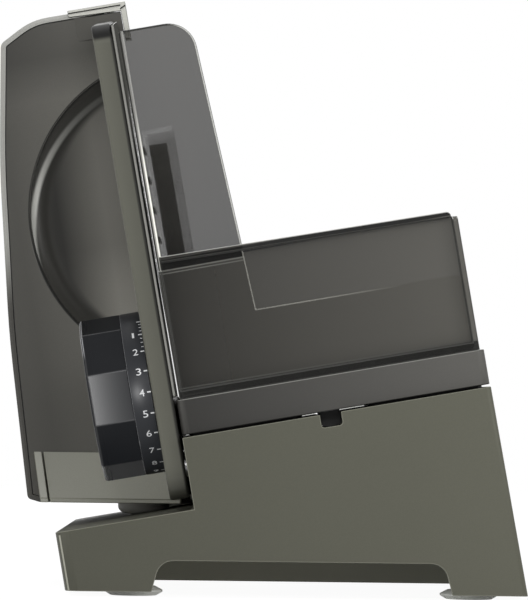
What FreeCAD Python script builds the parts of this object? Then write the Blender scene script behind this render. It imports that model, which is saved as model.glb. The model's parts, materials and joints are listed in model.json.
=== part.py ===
import FreeCAD, Part
import math
import os

# Household food slicer with a leaning blade, a hand pushed carriage and a thickness knob.
# X runs to the user's right, Y runs away from the user, Z is up, all in millimetres.
# The upper machine is drawn in a leaning frame: u is square to the blade, w runs up along it,
# and u = 0, w = 0 is the blade's centre on the cutting plane.

V = FreeCAD.Vector
os.makedirs("parts", exist_ok=True)
pieces = {}

# Leaning frame
lean_deg = 10.2
blade_height = 176.9
blade_from_left = -54.4

# Base
base_front_y = -130.0
base_back_y = 125.0
base_wall = 3.0
base_bottom = 3.6
base_flare = 0.9
base_left_u = -0.3
base_right_u = 140.6
base_top_w = -105.4
base_corner_radius = 2.0
arm_left_u = -63.9
arm_top_w = -138.0
arm_corner_radius = 6.0
arch_left = -45.3
arch_right = 82.7
arch_top = 17.8
arch_splay = 3.8
arch_corner_radius = 8.0
cross_wall_y = 20.0
foot_post_radius = 6.5
far = 400.0

# Feet
foot_radius = 14.0
foot_inset = 26.0
foot_left_x = -57.8
foot_right_x = 94.8
foot_height = 4.4
foot_sink = 2.0
foot_rim_height = 2.2
foot_rim_rounding = 0.7
foot_sole_radius = 10.4
foot_sole_rounding = 1.5
foot_top_radius = 9.8
foot_screw_radius = 2.0
foot_screw_length = 10.0
foot_head_thick = 0.7
foot_head_sink = 0.7
foot_head_room = 0.4

# Guide groove and its runner
groove_u = 67.3
groove_width = 9.6
groove_depth = 6.0
groove_floor = 2.5
groove_slot = 4.2
groove_rounding = 1.5
runner_play = 0.3
runner_setback = 15.0
runner_length = 120.0
keeper_thick = 1.8
keeper_width = 12.5
keeper_play = 0.4
keeper_screw_radius = 1.2
keeper_screw_grip = 8.0
keeper_room = 2.2
fixing_head_radius = 2.6

# Blade
blade_radius = 85.0
blade_y = 36.0
blade_thick = 1.4
blade_edge = 0.2
bevel_width = 8.0
hub_radius = 30.0
hub_recess = 2.2
hub_cone = 8.0
scallops = 52
scallop_radius = 5.0
scallop_depth = 0.8
screw_head_radius = 16.0
screw_head_thick = 1.7
axle_radius = 6.0
axle_left_u = -44.0
blade_bolt_radius = 3.0
blade_bolt_length = 12.0
flange_radius = 18.0
flange_thick = 1.4

# Housing
panel_y = -12.0
housing_back_y = 140.0
shell_wall = 2.5
shell_right_u = -3.0
shell_top_w = 100.8
housing_bottom_z = 41.0
housing_left_x = -126.1
housing_corner_z = 257.6
housing_upper_x = -125.9
housing_upper_z = 200.0
housing_lower_x = -120.4
housing_lower_z = 120.0
housing_heel_x = -110.7
housing_heel_z = 42.6
housing_toe_x = -105.0
housing_side_bend = 500.0
rim_chamfer = 1.4
panel_thick = 2.5
panel_play = 0.2
dish_u = 17.4
dish_radius = 74.0
dish_depth = 12.0
dish_cove = 10.0
back_edge_radius = 6.0
shoulder_u = -40.0
shoulder_radius = 30.0
blade_opening_radius = 35.0

# Aluminium plate and trim beside the blade
plate_thick = 2.4
plate_ring_play = 2.0
plate_inset = 0.3
plate_low_screw_w = -112.0
plate_screw_inset = 10.0
plate_top_screw_drop = 12.8
plate_back_screw_drop = 40.8
plate_screw_radius = 3.2
trim_thick = 1.3
trim_lip = 1.2
trim_lip_tip = 1.9
trim_lip_drop = 2.8
trim_groove = 0.5
trim_groove_depth = 0.7
trim_mitre_low = 1.6
trim_mitre_high = 0.1
trim_strip_depth = 14.0
trim_left_u = -22.6
trim_right_u = 5.1
trim_strip = 2.7
trim_drop = 16.8
ear_left_u = -20.0
ear_slope = 10.0
ear_drop = 14.0
ear_gap = 0.15

# Chute
chute_top_z = 65.0
chute_reach = 22.0
chute_thick = 2.0
chute_left = -104.6
chute_strip_width = 3.8
chute_gap = 0.7
chute_slant = 7.8
chute_lift = 0.4

# Neck
neck_left = -63.5
neck_front_y = 30.0
neck_back_inset = 6.0
boss_x = -56.0
boss_radius = 12.2
boss_y = 0.0
boss_rounding = 3.4
boss_height = 4.8

# Gear train
gear_addendum = 0.75
gear_dedendum = 1.05
gear_backlash = 0.2
pressure_deg = 20.0
first_module = 1.5
drive_teeth = 36
small_teeth = 12
second_module = 1.0
large_teeth = 50
first_stage_u = -21.0
first_stage_width = 9.0
second_stage_u = -31.0
second_stage_width = 7.0
idler_angle_deg = -45.0
motor_angle_deg = -50.0
front_gear_plate_u = -5.5
gear_plate_thick = 2.5
rear_gear_plate_u = -34.0
rear_gear_plate_thick = 3.0
bush_wall = 3.0
bush_length = 5.0
shaft_play = 0.05
idler_shaft_radius = 4.0
pillar_radius = 4.0
pillar_screw_radius = 1.7
pillar_head_radius = 3.2
pillar_head_thick = 2.0
pillar_spots = ((70.0, 34.0), (14.0, -54.0), (110.0, 8.0), (50.0, -61.0))
front_plate_corners = (
    (4.0, -66.0, 10.0),
    (4.0, 52.0, 12.0),
    (90.0, 52.0, 12.0),
    (122.0, 20.0, 12.0),
    (122.0, -66.0, 10.0),
)
rear_plate_corners = (
    (4.0, -66.0, 8.0),
    (4.0, 26.0, 20.0),
    (62.0, 46.0, 8.0),
    (122.0, 14.0, 8.0),
    (112.0, -82.0, 8.0),
)

# Motor
motor_radius = 23.0
motor_left_u = -69.0
motor_wall = 1.5
motor_shaft_radius = 2.5
magnet_inner = 16.5
armature_radius = 15.5
armature_length = 20.0
armature_slots = 5
slot_width = 3.0
slot_depth = 7.0
motor_boss_radius = 7.0
cap_thick = 2.0
cap_boss_length = 5.0

# Stop plate
stop_front_y = -126.0
stop_tip_y = -15.0
stop_heel_y = -38.0
stop_left_u = -10.5
stop_frame_thick = 9.0
stop_face_thick = 1.3
stop_front_drop = 16.4
stop_back_drop = 7.0
stop_bottom_w = -132.5
stop_slant_w = -102.0
stop_rim = 8.0
stop_rib_half = 1.2
stop_rib_places = (-30.0, 5.0, 40.0)
stop_heel_drop = 12.0
stop_small_corner = 4.0
stop_hollow_depth = 5.5
stop_corner_radius = 9.0
blade_clearance = 2.5
face_margin = 0.6
face_bottom_w = -86.8
face_corner_radius = 1.5
stop_travel = 20.0
guide_rod_radius = 5.0
guide_rod_w = -118.5
guide_rod_front_y = -106.0
guide_rod_back_y = -52.0
guide_rod_end_u = 52.0
guide_rod_seat = 6.5
guide_bush_wall = 3.0
guide_bush_end_u = 43.5

# Thickness knob
knob_y = -88.0
knob_w = -82.4
knob_radius = 37.2
knob_left_u = -39.0
grip_length = 19.0
dial_length = 9.2
knob_sides = 10
knob_inner_radius = 33.0
knob_end_wall = 2.0
knob_bevel = 1.0
knob_turn_deg = 300.0
knob_lead = stop_travel * 360.0 / knob_turn_deg
barrel_radius = 24.5
barrel_groove_depth = 4.2
cam_pin_radius = 1.9
cam_pin_play = 0.2
cam_rod_radius = 2.0
cam_rod_orbit = 29.5
cam_start = 4.6
cam_finger_play = 0.3
cam_nut_radius = 5.0
cam_nut_length = 4.0
knob_washer_radius = 9.0
knob_bolt_radius = 2.0
knob_bolt_length = 12.0
groove_run_out_deg = 12.0
knob_axle_radius = 6.0
knob_axle_seat = 2.5
knob_cap_radius = 10.0
knob_cap_thick = 0.8
barrel_gap = 0.2
knob_screw_radius = 5.0

# Carriage
table_left_u = -0.3
table_right_u = 140.5
table_top_w = -88.3
table_bottom_w = -104.3
table_front_y = -125.0
table_length = 150.0
table_wall = 2.4
table_corner_radius = 3.0
table_rib_places = (34.0, 104.0)
table_rib_drop = 4.0
sheet_thick = 0.8
sheet_margin = 1.4
glide_thick = 1.0
glide_width = 7.0
glide_length = 52.0
glide_inset_u = 3.0
glide_inset_y = 20.0
wall_left_u = 2.6
wall_right_u = 138.6
wall_top_w = -24.5
wall_top_rise = 1.3
wall_y = -120.0
wall_thick = 2.5
wall_rim = 2.5
wall_rim_reach = 4.6
wall_gap_u = 0.4
wall_screw_radius = 1.5
wall_screw_places = (20.0, 90.0, 125.0)
wall_foot = 3.7

# Food holder
holder_left_u = 1.3
holder_edge = 1.3
holder_play = 0.3
holder_thick = 2.5
holder_top_w = 80.8
holder_top_right_u = 34.5
holder_knee_u = 42.3
holder_knee_w = -53.2
holder_arm_u = 137.0
holder_corner_radius = 13.0
holder_knee_radius = 4.0
pusher_left_u = 4.2
pusher_right_u = 18.1
pusher_top_w = 35.0
pusher_bottom_w = -50.0
pusher_length = 64.0
pusher_wall = 2.2
grip_bar_thick = 8.0
grip_bar_top_w = 28.0
spike_length = 1.9
spike_radius = 1.3
spike_rows = 6
spike_margin = 8.0
spike_columns = (12.0, 32.0, 52.0)
finger_room = 20.0
ledge_height = 3.0
ledge_thick = 2.2
ledge_margin = 4.4

# Switch
switch_y = 62.0
switch_z = 200.0
switch_side_x = -125.6
switch_radius = 9.0
lock_offset_y = 26.0
lock_radius = 5.0
button_play = 0.4
button_recess = 1.0
button_thick = 4.0
button_travel = 2.5
stem_radius = 3.0
switch_block_x = -112.0
switch_block_depth = 12.0
switch_block_side = 14.0
switch_block_height = 26.0
stem_seat = 6.0
inlet_radius = 8.0
inlet_z = 62.0
inlet_x = -80.0
cord_radius = 3.6
inlet_lip = 2.0

lean = math.radians(lean_deg)
stop_right_u = stop_left_u + stop_frame_thick
stop_face_u = stop_right_u + stop_face_thick
cos_lean = math.cos(lean)
sin_lean = math.sin(lean)
stop_top_front_w = shell_top_w - stop_front_drop
stop_top_back_w = shell_top_w - stop_back_drop
trim_drop_w = shell_top_w - trim_drop
bush_outer = guide_rod_radius + guide_bush_wall
runner_front_y = table_front_y + runner_setback
runner_stem_w = base_top_w - groove_depth - groove_floor - keeper_play
table_back_y = table_front_y + table_length
idler_distance = first_module * (drive_teeth + small_teeth) / 2.0
motor_distance = second_module * (large_teeth + small_teeth) / 2.0
idler_angle = math.radians(idler_angle_deg)
motor_angle = math.radians(motor_angle_deg)
idler_y = blade_y + idler_distance * math.cos(idler_angle)
idler_w = idler_distance * math.sin(idler_angle)
motor_y = idler_y + motor_distance * math.cos(motor_angle)
motor_w = idler_w + motor_distance * math.sin(motor_angle)
leaning_place = FreeCAD.Placement(
    V(blade_from_left, 0, blade_height), FreeCAD.Rotation(V(0, 1, 0), -lean_deg)
)


def world_x(u, w):
    return blade_from_left + u * cos_lean - w * sin_lean


def world_z(u, w):
    return blade_height + u * sin_lean + w * cos_lean


def leaning(shape):
    """Move a shape drawn in the leaning frame to its place in the machine."""
    moved = shape.copy()
    moved.Placement = leaning_place.multiply(moved.Placement)
    return moved


def along_u(shape, u, y, w):
    """Lay a shape drawn round Z along the u axis, starting at u."""
    moved = shape.copy()
    turn = FreeCAD.Placement(V(u, y, w), FreeCAD.Rotation(V(0, 1, 0), 90))
    moved.Placement = turn.multiply(moved.Placement)
    return moved


def corner_edges(points, lift):
    """Closed outline with round corners; each point is (a, b, radius)."""
    flat = [V(a, b, 0) for a, b, r in points]
    starts = []
    ends = []
    edges = []
    for i, (a, b, radius) in enumerate(points):
        here = flat[i]
        if radius == 0:
            starts.append(here)
            ends.append(here)
            continue
        back = (flat[i - 1] - here).normalize()
        ahead = (flat[(i + 1) % len(flat)] - here).normalize()
        half = back.getAngle(ahead) / 2.0
        middle = (back + ahead).normalize()
        start = here + back * (radius / math.tan(half))
        end = here + ahead * (radius / math.tan(half))
        top = here + middle * (radius / math.sin(half) - radius)
        edges.append(Part.Arc(lift(start), lift(top), lift(end)).toShape())
        starts.append(start)
        ends.append(end)
    for i, end in enumerate(ends):
        start = starts[(i + 1) % len(starts)]
        if (start - end).Length > 1e-6:
            edges.append(Part.LineSegment(lift(end), lift(start)).toShape())
    return edges


def face_of(edges):
    return Part.Face(Part.Wire(Part.__sortEdges__(edges)))


def slab_y(points, y0, y1):
    """Outline in X and Z (or u and w), run along Y."""
    face = face_of(corner_edges(points, lambda p: V(p.x, y0, p.y)))
    return face.extrude(V(0, y1 - y0, 0))


def slab_u(points, u0, u1):
    """Outline in Y and Z (or Y and w), run along u."""
    face = face_of(corner_edges(points, lambda p: V(u0, p.x, p.y)))
    return face.extrude(V(u1 - u0, 0, 0))


def slab_w(points, w0, w1):
    """Outline in X and Y (or u and Y), run up along w."""
    face = face_of(corner_edges(points, lambda p: V(p.x, p.y, w0)))
    return face.extrude(V(0, 0, w1 - w0))


def block(x0, x1, y0, y1, z0, z1):
    return Part.makeBox(x1 - x0, y1 - y0, z1 - z0, V(x0, y0, z0))


def rod(radius, length, x=0.0, y=0.0, z=0.0, direction=V(0, 0, 1)):
    return Part.makeCylinder(radius, length, V(x, y, z), direction)


def tube(outer, inner, length, z=0.0):
    return rod(outer, length, z=z).cut(rod(inner, length + 2, z=z - 1))


def turned(profile):
    """Solid of revolution about Z from (radius, z) points."""
    wire = Part.makePolygon([V(r, 0, z) for r, z in profile + profile[:1]])
    return Part.Face(wire).revolve(V(0, 0, 0), V(0, 0, 1), 360)


def u_rod(radius, u0, u1, y, w):
    return rod(radius, u1 - u0, u0, y, w, V(1, 0, 0))


def soften(shape, radius, chosen):
    """Round the edges that the test picks, or leave them if there are none."""
    edges = [e for e in shape.Edges if chosen(e)]
    return shape.makeFillet(radius, edges) if edges else shape


def edge_along(edge, direction):
    if edge.Curve.TypeId != "Part::GeomLine":
        return False
    return abs(edge.tangentAt(edge.FirstParameter).dot(direction)) > 0.999


def keep(name, shape, in_leaning_frame=True):
    placed = leaning(shape) if in_leaning_frame else shape
    pieces[name] = placed


# Base

def base_outline(inset):
    """The base seen from the front, drawn in by inset and open below when inset."""
    left = (arm_left_u + inset, arm_top_w - inset)
    inner = (base_left_u + inset, arm_top_w - inset)
    top_left = (base_left_u + inset, base_top_w - inset)
    top_right = (base_right_u - inset, base_top_w - inset)
    floor = base_bottom - inset
    corners = [left, inner, top_left, top_right]
    points = [(world_x(u, w), world_z(u, w)) for u, w in corners]
    lean_run = math.tan(lean)
    right_foot = (points[3][0] + (points[3][1] - floor) * lean_run + base_flare, floor)
    left_foot = (points[0][0] + (points[0][1] - floor) * lean_run, floor)
    return [(x, z, 0) for x, z in points + [right_foot, left_foot]]


def arch_cutter(y0, y1):
    drop = arch_top - base_bottom
    reach = arch_splay * (drop + base_wall) / drop
    low = base_bottom - base_wall
    return slab_y(
        [
            (arch_left - reach, low, 0),
            (arch_left, arch_top, arch_corner_radius),
            (arch_right, arch_top, arch_corner_radius),
            (arch_right + reach, low, 0),
        ],
        y0,
        y1,
    )


def feet_places():
    rows = (base_front_y + foot_inset, base_back_y - foot_inset)
    return [(x, y) for x in (foot_left_x, foot_right_x) for y in rows]


def base_beams():
    """What stands inside the base: groove beam, rib, cross wall and the posts on the feet."""
    beam_half = groove_width / 2 + base_wall
    beam_low = base_top_w - groove_depth - groove_floor
    beam = block(
        groove_u - beam_half, groove_u + beam_half, base_front_y, base_back_y, beam_low, base_top_w
    )
    rib = block(
        guide_bush_end_u - base_wall,
        guide_bush_end_u,
        base_front_y,
        guide_rod_back_y + 2.5 * bush_outer,
        arm_top_w,
        base_top_w,
    )
    beams = [leaning(beam), leaning(rib)]
    beams.append(block(-far, far, cross_wall_y, cross_wall_y + base_wall, base_bottom, far))
    for x, y in feet_places():
        beams.append(rod(foot_post_radius, far, x, y, base_bottom + foot_sink))
    return beams


def base_shell():
    outer = slab_y(base_outline(0), base_front_y, base_back_y)
    slanted = V(-sin_lean, 0, cos_lean)
    outer = soften(
        outer, arm_corner_radius, lambda e: edge_along(e, slanted) and e.CenterOfMass.x < foot_left_x
    )
    outer = soften(
        outer, base_corner_radius, lambda e: edge_along(e, slanted) and e.CenterOfMass.x > arch_right
    )
    inner = slab_y(base_outline(base_wall), base_front_y + base_wall, base_back_y - base_wall)
    for beam in base_beams():
        inner = inner.cut(beam)
    shell = outer.cut(inner)
    half = groove_width / 2
    deep = base_top_w - groove_depth
    groove = slab_y(
        [
            (groove_u - half, base_top_w + groove_depth, 0),
            (groove_u + half, base_top_w + groove_depth, 0),
            (groove_u + half, deep, groove_rounding),
            (groove_u - half, deep, groove_rounding),
        ],
        base_front_y - 1,
        base_back_y + 1,
    )
    slot = block(
        groove_u - groove_slot / 2,
        groove_u + groove_slot / 2,
        base_front_y + base_wall + base_wall,
        base_back_y + 1,
        deep - groove_floor - 1,
        deep + 1,
    )
    room = keeper_width / 2 + groove_rounding
    keeper_hole = block(
        groove_u - room,
        groove_u + room,
        cross_wall_y - 1,
        cross_wall_y + base_wall + 1,
        runner_stem_w - keeper_thick - keeper_room,
        deep - groove_floor,
    )
    keeper_way_out = keeper_hole.copy()
    keeper_way_out.translate(V(0, base_back_y - base_wall - cross_wall_y, 0))
    for cutter in (groove, slot, keeper_hole, keeper_way_out):
        shell = shell.cut(leaning(cutter))
    shell = shell.cut(arch_cutter(base_front_y - 1, base_front_y + base_wall + 1))
    shell = shell.cut(arch_cutter(base_back_y - base_wall - 1, base_back_y + 1))
    for y in (guide_rod_front_y, guide_rod_back_y):
        hole = u_rod(bush_outer, base_left_u - 1, guide_bush_end_u + 1, y, guide_rod_w)
        shell = shell.cut(leaning(hole))
    rod_hole = u_rod(
        cam_rod_radius, base_left_u - 1, base_left_u + base_wall + 1, knob_y, knob_w - cam_rod_orbit
    )
    shell = shell.cut(leaning(rod_hole))
    for x, y in feet_places():
        shell = shell.cut(rod(foot_screw_radius, foot_screw_length + 2, x, y, base_bottom))
    return shell


def rubber_foot(x, y):
    """Lens shaped foot with a flat sole and a sunk hole for its screw."""
    side = [
        (0, 0, 0),
        (foot_sole_radius, 0, foot_sole_rounding),
        (foot_radius, foot_rim_height, foot_rim_rounding),
        (foot_top_radius, foot_height, foot_sole_rounding),
        (0, foot_height, 0),
    ]
    foot = face_of(corner_edges(side, lambda p: V(p.x, 0, p.y))).revolve(V(0, 0, 0), V(0, 0, 1), 360)
    room = 2 * foot_screw_radius + foot_head_room
    foot = foot.cut(rod(foot_screw_radius, foot_height + 2, z=-1))
    foot = foot.cut(rod(room, 1 + foot_head_sink + foot_head_thick, z=-1))
    foot.translate(V(x, y, base_bottom + foot_sink - foot_height))
    return foot


def foot_screw(x, y):
    under_head = foot_head_sink + foot_head_thick
    head = rod(2 * foot_screw_radius, foot_head_thick, z=foot_head_sink)
    shank = rod(foot_screw_radius, foot_height - under_head + foot_screw_length, z=under_head)
    screw = head.fuse(shank)
    screw.translate(V(x, y, base_bottom + foot_sink - foot_height))
    return screw


def make_base():
    keep("base_shell", base_shell(), False)
    keep("rubber_feet", Part.makeCompound([rubber_foot(x, y) for x, y in feet_places()]), False)
    keep("foot_screws", Part.makeCompound([foot_screw(x, y) for x, y in feet_places()]), False)
    bushes = []
    for y in (guide_rod_front_y, guide_rod_back_y):
        outer = u_rod(bush_outer, base_left_u, guide_bush_end_u, y, guide_rod_w)
        bore = u_rod(guide_rod_radius + shaft_play, base_left_u - 1, guide_bush_end_u + 1, y, guide_rod_w)
        bushes.append(outer.cut(bore))
    keep("guide_bushes", Part.makeCompound(bushes))


# Housing

def housing_outline():
    """Housing seen from the front in X and Z."""
    right_top = (world_x(shell_right_u, shell_top_w), world_z(shell_right_u, shell_top_w))
    drop = (right_top[1] - housing_bottom_z) * math.tan(lean)
    right_bottom = (right_top[0] + drop, housing_bottom_z)
    shoulder = (world_x(shoulder_u, shell_top_w), world_z(shoulder_u, shell_top_w))
    return [
        (right_top[0], right_top[1], 0),
        (shoulder[0], shoulder[1], shoulder_radius),
        (housing_left_x, housing_corner_z, 4),
        (housing_upper_x, housing_upper_z, housing_side_bend),
        (housing_lower_x, housing_lower_z, housing_side_bend),
        (housing_heel_x, housing_heel_z, shell_wall),
        (housing_toe_x, housing_bottom_z, shell_wall),
        (right_bottom[0], right_bottom[1], 0),
    ]


def inset_face(points, y, inset):
    face = face_of(corner_edges(points, lambda p: V(p.x, y, p.y)))
    return face.makeOffset2D(-inset)


def button_places():
    return ((switch_y, switch_radius), (switch_y + lock_offset_y, lock_radius))


def housing_shell():
    outline = housing_outline()
    outer = slab_y(outline, panel_y, housing_back_y)
    outer = soften(outer, back_edge_radius, lambda e: on_level(e, housing_back_y) and free_side(e))
    front = [e for e in outer.Edges if on_level(e, panel_y)]
    outer = outer.makeChamfer(rim_chamfer, front)
    depth = housing_back_y - panel_y + 1 - shell_wall
    inner = inset_face(outline, panel_y - 1, shell_wall).extrude(V(0, depth, 0))
    shell = outer.cut(inner)
    opening = u_rod(blade_opening_radius, shell_right_u - 2 * shell_wall, shell_right_u + 1, blade_y, 0)
    shell = shell.cut(leaning(opening))
    for y, radius in button_places():
        shell = shell.cut(rod(radius + button_play, 30, housing_left_x - 10, y, switch_z, V(1, 0, 0)))
    return shell.cut(rod(inlet_radius, 20, inlet_x, housing_back_y - 10, inlet_z, V(0, 1, 0)))


def on_level(edge, y):
    box = edge.BoundBox
    return abs(box.YMin - y) < 0.01 and abs(box.YMax - y) < 0.01


def free_side(edge):
    """True for the edges on the housing's top and left side."""
    centre = edge.CenterOfMass
    return centre.z > housing_bottom_z + 1 and centre.x < world_x(shell_right_u, 0) - 5


def front_panel():
    outline = housing_outline()
    inset = shell_wall + panel_play
    plate = inset_face(outline, panel_y, inset).extrude(V(0, panel_thick, 0))
    reach = inset_face(outline, panel_y, inset).extrude(V(0, dish_depth + panel_thick, 0))
    x = world_x(dish_u, 0)
    z = world_z(dish_u, 0)
    turn = FreeCAD.Placement(V(x, panel_y, z), FreeCAD.Rotation(V(1, 0, 0), -90))

    def bowl(radius, depth, cove):
        body = rod(radius, depth)
        rim = [e for e in body.Edges if abs(e.CenterOfMass.z - depth) < 0.01 and e.Closed]
        body = body.makeFillet(cove, rim)
        body.Placement = turn
        return body

    outer = bowl(dish_radius + panel_thick, dish_depth + panel_thick, dish_cove + panel_thick)
    inner = bowl(dish_radius, dish_depth, dish_cove)
    return plate.fuse(outer.common(reach)).cut(inner).fuse(panel_ear()).removeSplitter()


def panel_ear():
    """Tongue that swells from the panel's top right and hides the blade plate's front end."""
    right = trim_right_u - trim_strip - ear_gap
    front = panel_y - trim_lip
    swell = ear_left_u + ear_slope
    tongue = slab_w(
        [(ear_left_u, panel_y, 0), (swell, front, 0), (right, front, 0), (right, panel_y, 0)],
        shell_top_w - ear_drop,
        shell_top_w - trim_lip_drop - ear_gap,
    )
    return leaning(tongue)


def chute_profile(thick):
    """Ramp seen from the side in Y and Z: high at the panel, low at the front."""
    low = housing_bottom_z + chute_lift
    return [
        (panel_y, chute_top_z, 0),
        (panel_y - chute_reach, low + thick, 0),
        (panel_y - chute_reach, low, 0),
        (panel_y, low, 0),
        (panel_y, low + thick, 0),
        (panel_y - chute_reach + 2 * thick, low + thick, 0),
        (panel_y, chute_top_z - 2 * thick, 0),
    ]


def chute_cut(offset):
    """Left end of the chute: the line it stops at, moved left by offset."""
    foot = (chute_left + chute_slant - offset, housing_bottom_z - 11)
    head = (chute_left - offset, chute_top_z + 5)
    return [foot, head]


def make_chute():
    ramp = slab_u(chute_profile(chute_thick), chute_left, world_x(shell_right_u - 5, plate_bottom_w()))
    low, high = chute_cut(0)
    outside = slab_y([(-far, low[1], 0), (*low, 0), (*high, 0), (-far, high[1], 0)], -far, far)
    keep("chute_panel", ramp.cut(outside), False)
    side = [(y, z, 0) for y, z, r in chute_profile(chute_thick)[:4]]
    strip = slab_u(side, chute_left - 4 * chute_strip_width, chute_left + 2 * chute_strip_width)
    near = chute_cut(chute_gap)
    away = chute_cut(chute_gap + chute_strip_width)
    band = slab_y([(*away[0], 0), (*near[0], 0), (*near[1], 0), (*away[1], 0)], -far, far)
    keep("chute_end_strip", strip.common(band), False)


def make_housing():
    keep("housing_shell", housing_shell(), False)
    keep("front_panel", front_panel(), False)
    make_chute()
    make_plate_and_trim()
    make_neck()
    inlet = tube(inlet_radius, cord_radius, shell_wall + inlet_lip)
    inlet = inlet.fuse(tube(inlet_radius + inlet_lip, cord_radius, inlet_lip, shell_wall))
    inlet.Placement = FreeCAD.Placement(
        V(inlet_x, housing_back_y - shell_wall, inlet_z), FreeCAD.Rotation(V(1, 0, 0), -90)
    )
    keep("cord_inlet", inlet, False)


def plate_bottom_w():
    return (housing_bottom_z - blade_height - shell_right_u * sin_lean) / cos_lean


def plate_outline(inset):
    bottom = plate_bottom_w()
    return [
        (panel_y + inset, bottom + inset, 2),
        (panel_y + inset, shell_top_w - inset, 2),
        (housing_back_y - inset, shell_top_w - inset, 14),
        (housing_back_y - inset, bottom + inset, 14),
    ]


def make_plate_and_trim():
    ring = u_rod(blade_radius + plate_ring_play, shell_right_u - 1, 1, blade_y, 0)
    plate = slab_u(plate_outline(plate_inset), shell_right_u, shell_right_u + plate_thick).cut(ring)
    holes = []
    screws = []
    for y, w in plate_screw_places():
        core = plate_screw_radius / 2
        sink = turned([(0, 0), (plate_screw_radius, 0), (core, -core), (core, -4 * core), (0, -4 * core)])
        sink = along_u(sink, shell_right_u + plate_thick, y, w)
        holes.append(sink)
        slot = block(shell_right_u + plate_thick - 0.6, 5, y - 0.4, y + 0.4, w - 4, w + 4)
        screws.append(sink.cut(slot))
    cutters = Part.makeCompound(holes)
    pieces["housing_shell"] = pieces["housing_shell"].cut(leaning(cutters))
    keep("blade_plate", plate.cut(cutters))
    keep("plate_screws", Part.makeCompound(screws))
    keep("top_trim", top_trim())


def top_trim():
    """Cover along the housing's top with a front lip and a strip turned down at its right."""
    top = shell_top_w + trim_thick
    front = panel_y - trim_lip
    back = housing_back_y - 2 * back_edge_radius
    strip_left = trim_right_u - trim_strip
    strip_back = panel_y + trim_strip_depth
    plate_right = shell_right_u + plate_thick
    flange = slab_w(
        [
            (trim_left_u, front, 0),
            (trim_right_u, front, 0),
            (trim_right_u, strip_back, trim_strip),
            (plate_right, strip_back, 0),
            (plate_right, back, 0),
            (trim_left_u, back, 0),
        ],
        shell_top_w,
        top,
    )
    lip = slab_y(
        [
            (trim_left_u, shell_top_w, 0),
            (trim_left_u, shell_top_w - trim_lip_tip, 0.6),
            (strip_left, shell_top_w - trim_lip_drop, 0),
            (strip_left, shell_top_w, 0),
        ],
        front,
        panel_y,
    )
    strip = slab_u(
        [
            (front, trim_drop_w, 1),
            (front, top, 0),
            (strip_back, top, 0),
            (strip_back, trim_drop_w, 5),
        ],
        strip_left,
        trim_right_u,
    )
    groove_back = front + trim_groove_depth
    groove = block(
        trim_left_u - 1, strip_left, front - 1, groove_back, shell_top_w - trim_groove, shell_top_w
    )
    low = shell_top_w - trim_mitre_low
    high = shell_top_w + trim_mitre_high
    mitre = slab_y(
        [
            (strip_left, low - trim_groove, 0),
            (trim_right_u + 1, high - trim_groove, 0),
            (trim_right_u + 1, high, 0),
            (strip_left, low, 0),
        ],
        front - 1,
        groove_back,
    )
    return flange.fuse(lip).fuse(strip).cut(groove).cut(mitre).removeSplitter()


def plate_screw_places():
    front = panel_y + plate_screw_inset
    back = housing_back_y - plate_screw_inset
    return [
        (front, plate_low_screw_w),
        (back, plate_low_screw_w),
        (back, shell_top_w - plate_back_screw_drop),
        (front, shell_top_w - plate_top_screw_drop),
    ]


def make_neck():
    low = arm_top_w
    x0 = neck_left
    x1 = world_x(base_left_u - 1.5, low)

    def arm_z(x):
        return world_z(0, low) + (x - world_x(0, low)) * math.tan(lean)

    wedge = [(x0, arm_z(x0), 0), (x1, arm_z(x1), 0), (x1, housing_bottom_z, 0), (x0, housing_bottom_z, 0)]
    neck = slab_y(wedge, neck_front_y, base_back_y - neck_back_inset)
    keep("housing_neck", neck, False)
    left = boss_x - 2 * boss_radius
    right = boss_x + 2 * boss_radius
    room = slab_y(
        [
            (left, arm_z(left), 0),
            (right, arm_z(right), 0),
            (right, housing_bottom_z, 0),
            (left, housing_bottom_z, 0),
        ],
        boss_y - 2 * boss_radius,
        boss_y + 2 * boss_radius,
    )
    boss_low_z = housing_bottom_z - boss_height
    boss = rod(boss_radius, boss_height, boss_x, boss_y, boss_low_z)
    sole = [e for e in boss.Edges if e.Closed and abs(e.CenterOfMass.z - boss_low_z) < 0.01]
    keep("swivel_boss", boss.makeFillet(boss_rounding, sole).common(room), False)


# Blade and its drive

def gear_points(module, teeth, tooth_angle, flank_steps):
    """Involute outline as (radius, angle), with a tooth centred on tooth_angle."""
    pitch = module * teeth / 2.0
    base = pitch * math.cos(math.radians(pressure_deg))
    tip = pitch + gear_addendum * module
    root = pitch - gear_dedendum * module
    involute_at_pitch = math.tan(math.radians(pressure_deg)) - math.radians(pressure_deg)
    half_tooth = math.pi / (2 * teeth) - gear_backlash / (2 * pitch)
    start = max(base, root)
    flank = []
    for i in range(flank_steps + 1):
        radius = start + (tip - start) * i / flank_steps
        turn = math.sqrt(max(radius * radius / (base * base) - 1, 0))
        angle = half_tooth + involute_at_pitch - (turn - math.atan(turn))
        flank.append((radius, angle))
    if root < start:
        flank.insert(0, (root, flank[0][1]))
    outline = []
    for i in range(teeth):
        centre = tooth_angle + 2 * math.pi * i / teeth
        outline += [(radius, centre - angle) for radius, angle in flank]
        outline += [(radius, centre + angle) for radius, angle in reversed(flank)]
    return outline


def gear(module, teeth, tooth_angle, u, width, y, w, bore, flank_steps):
    points = [
        V(u, y + r * math.cos(a), w + r * math.sin(a))
        for r, a in gear_points(module, teeth, tooth_angle, flank_steps)
    ]
    body = Part.Face(Part.makePolygon(points + points[:1])).extrude(V(width, 0, 0))
    return body.cut(u_rod(bore, u - 1, u + width + 1, y, w))


def meshing_angle(line_angle, teeth):
    """Tooth angle of the driven gear when its partner has a tooth on the line."""
    return line_angle + math.pi + math.pi / teeth


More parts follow.
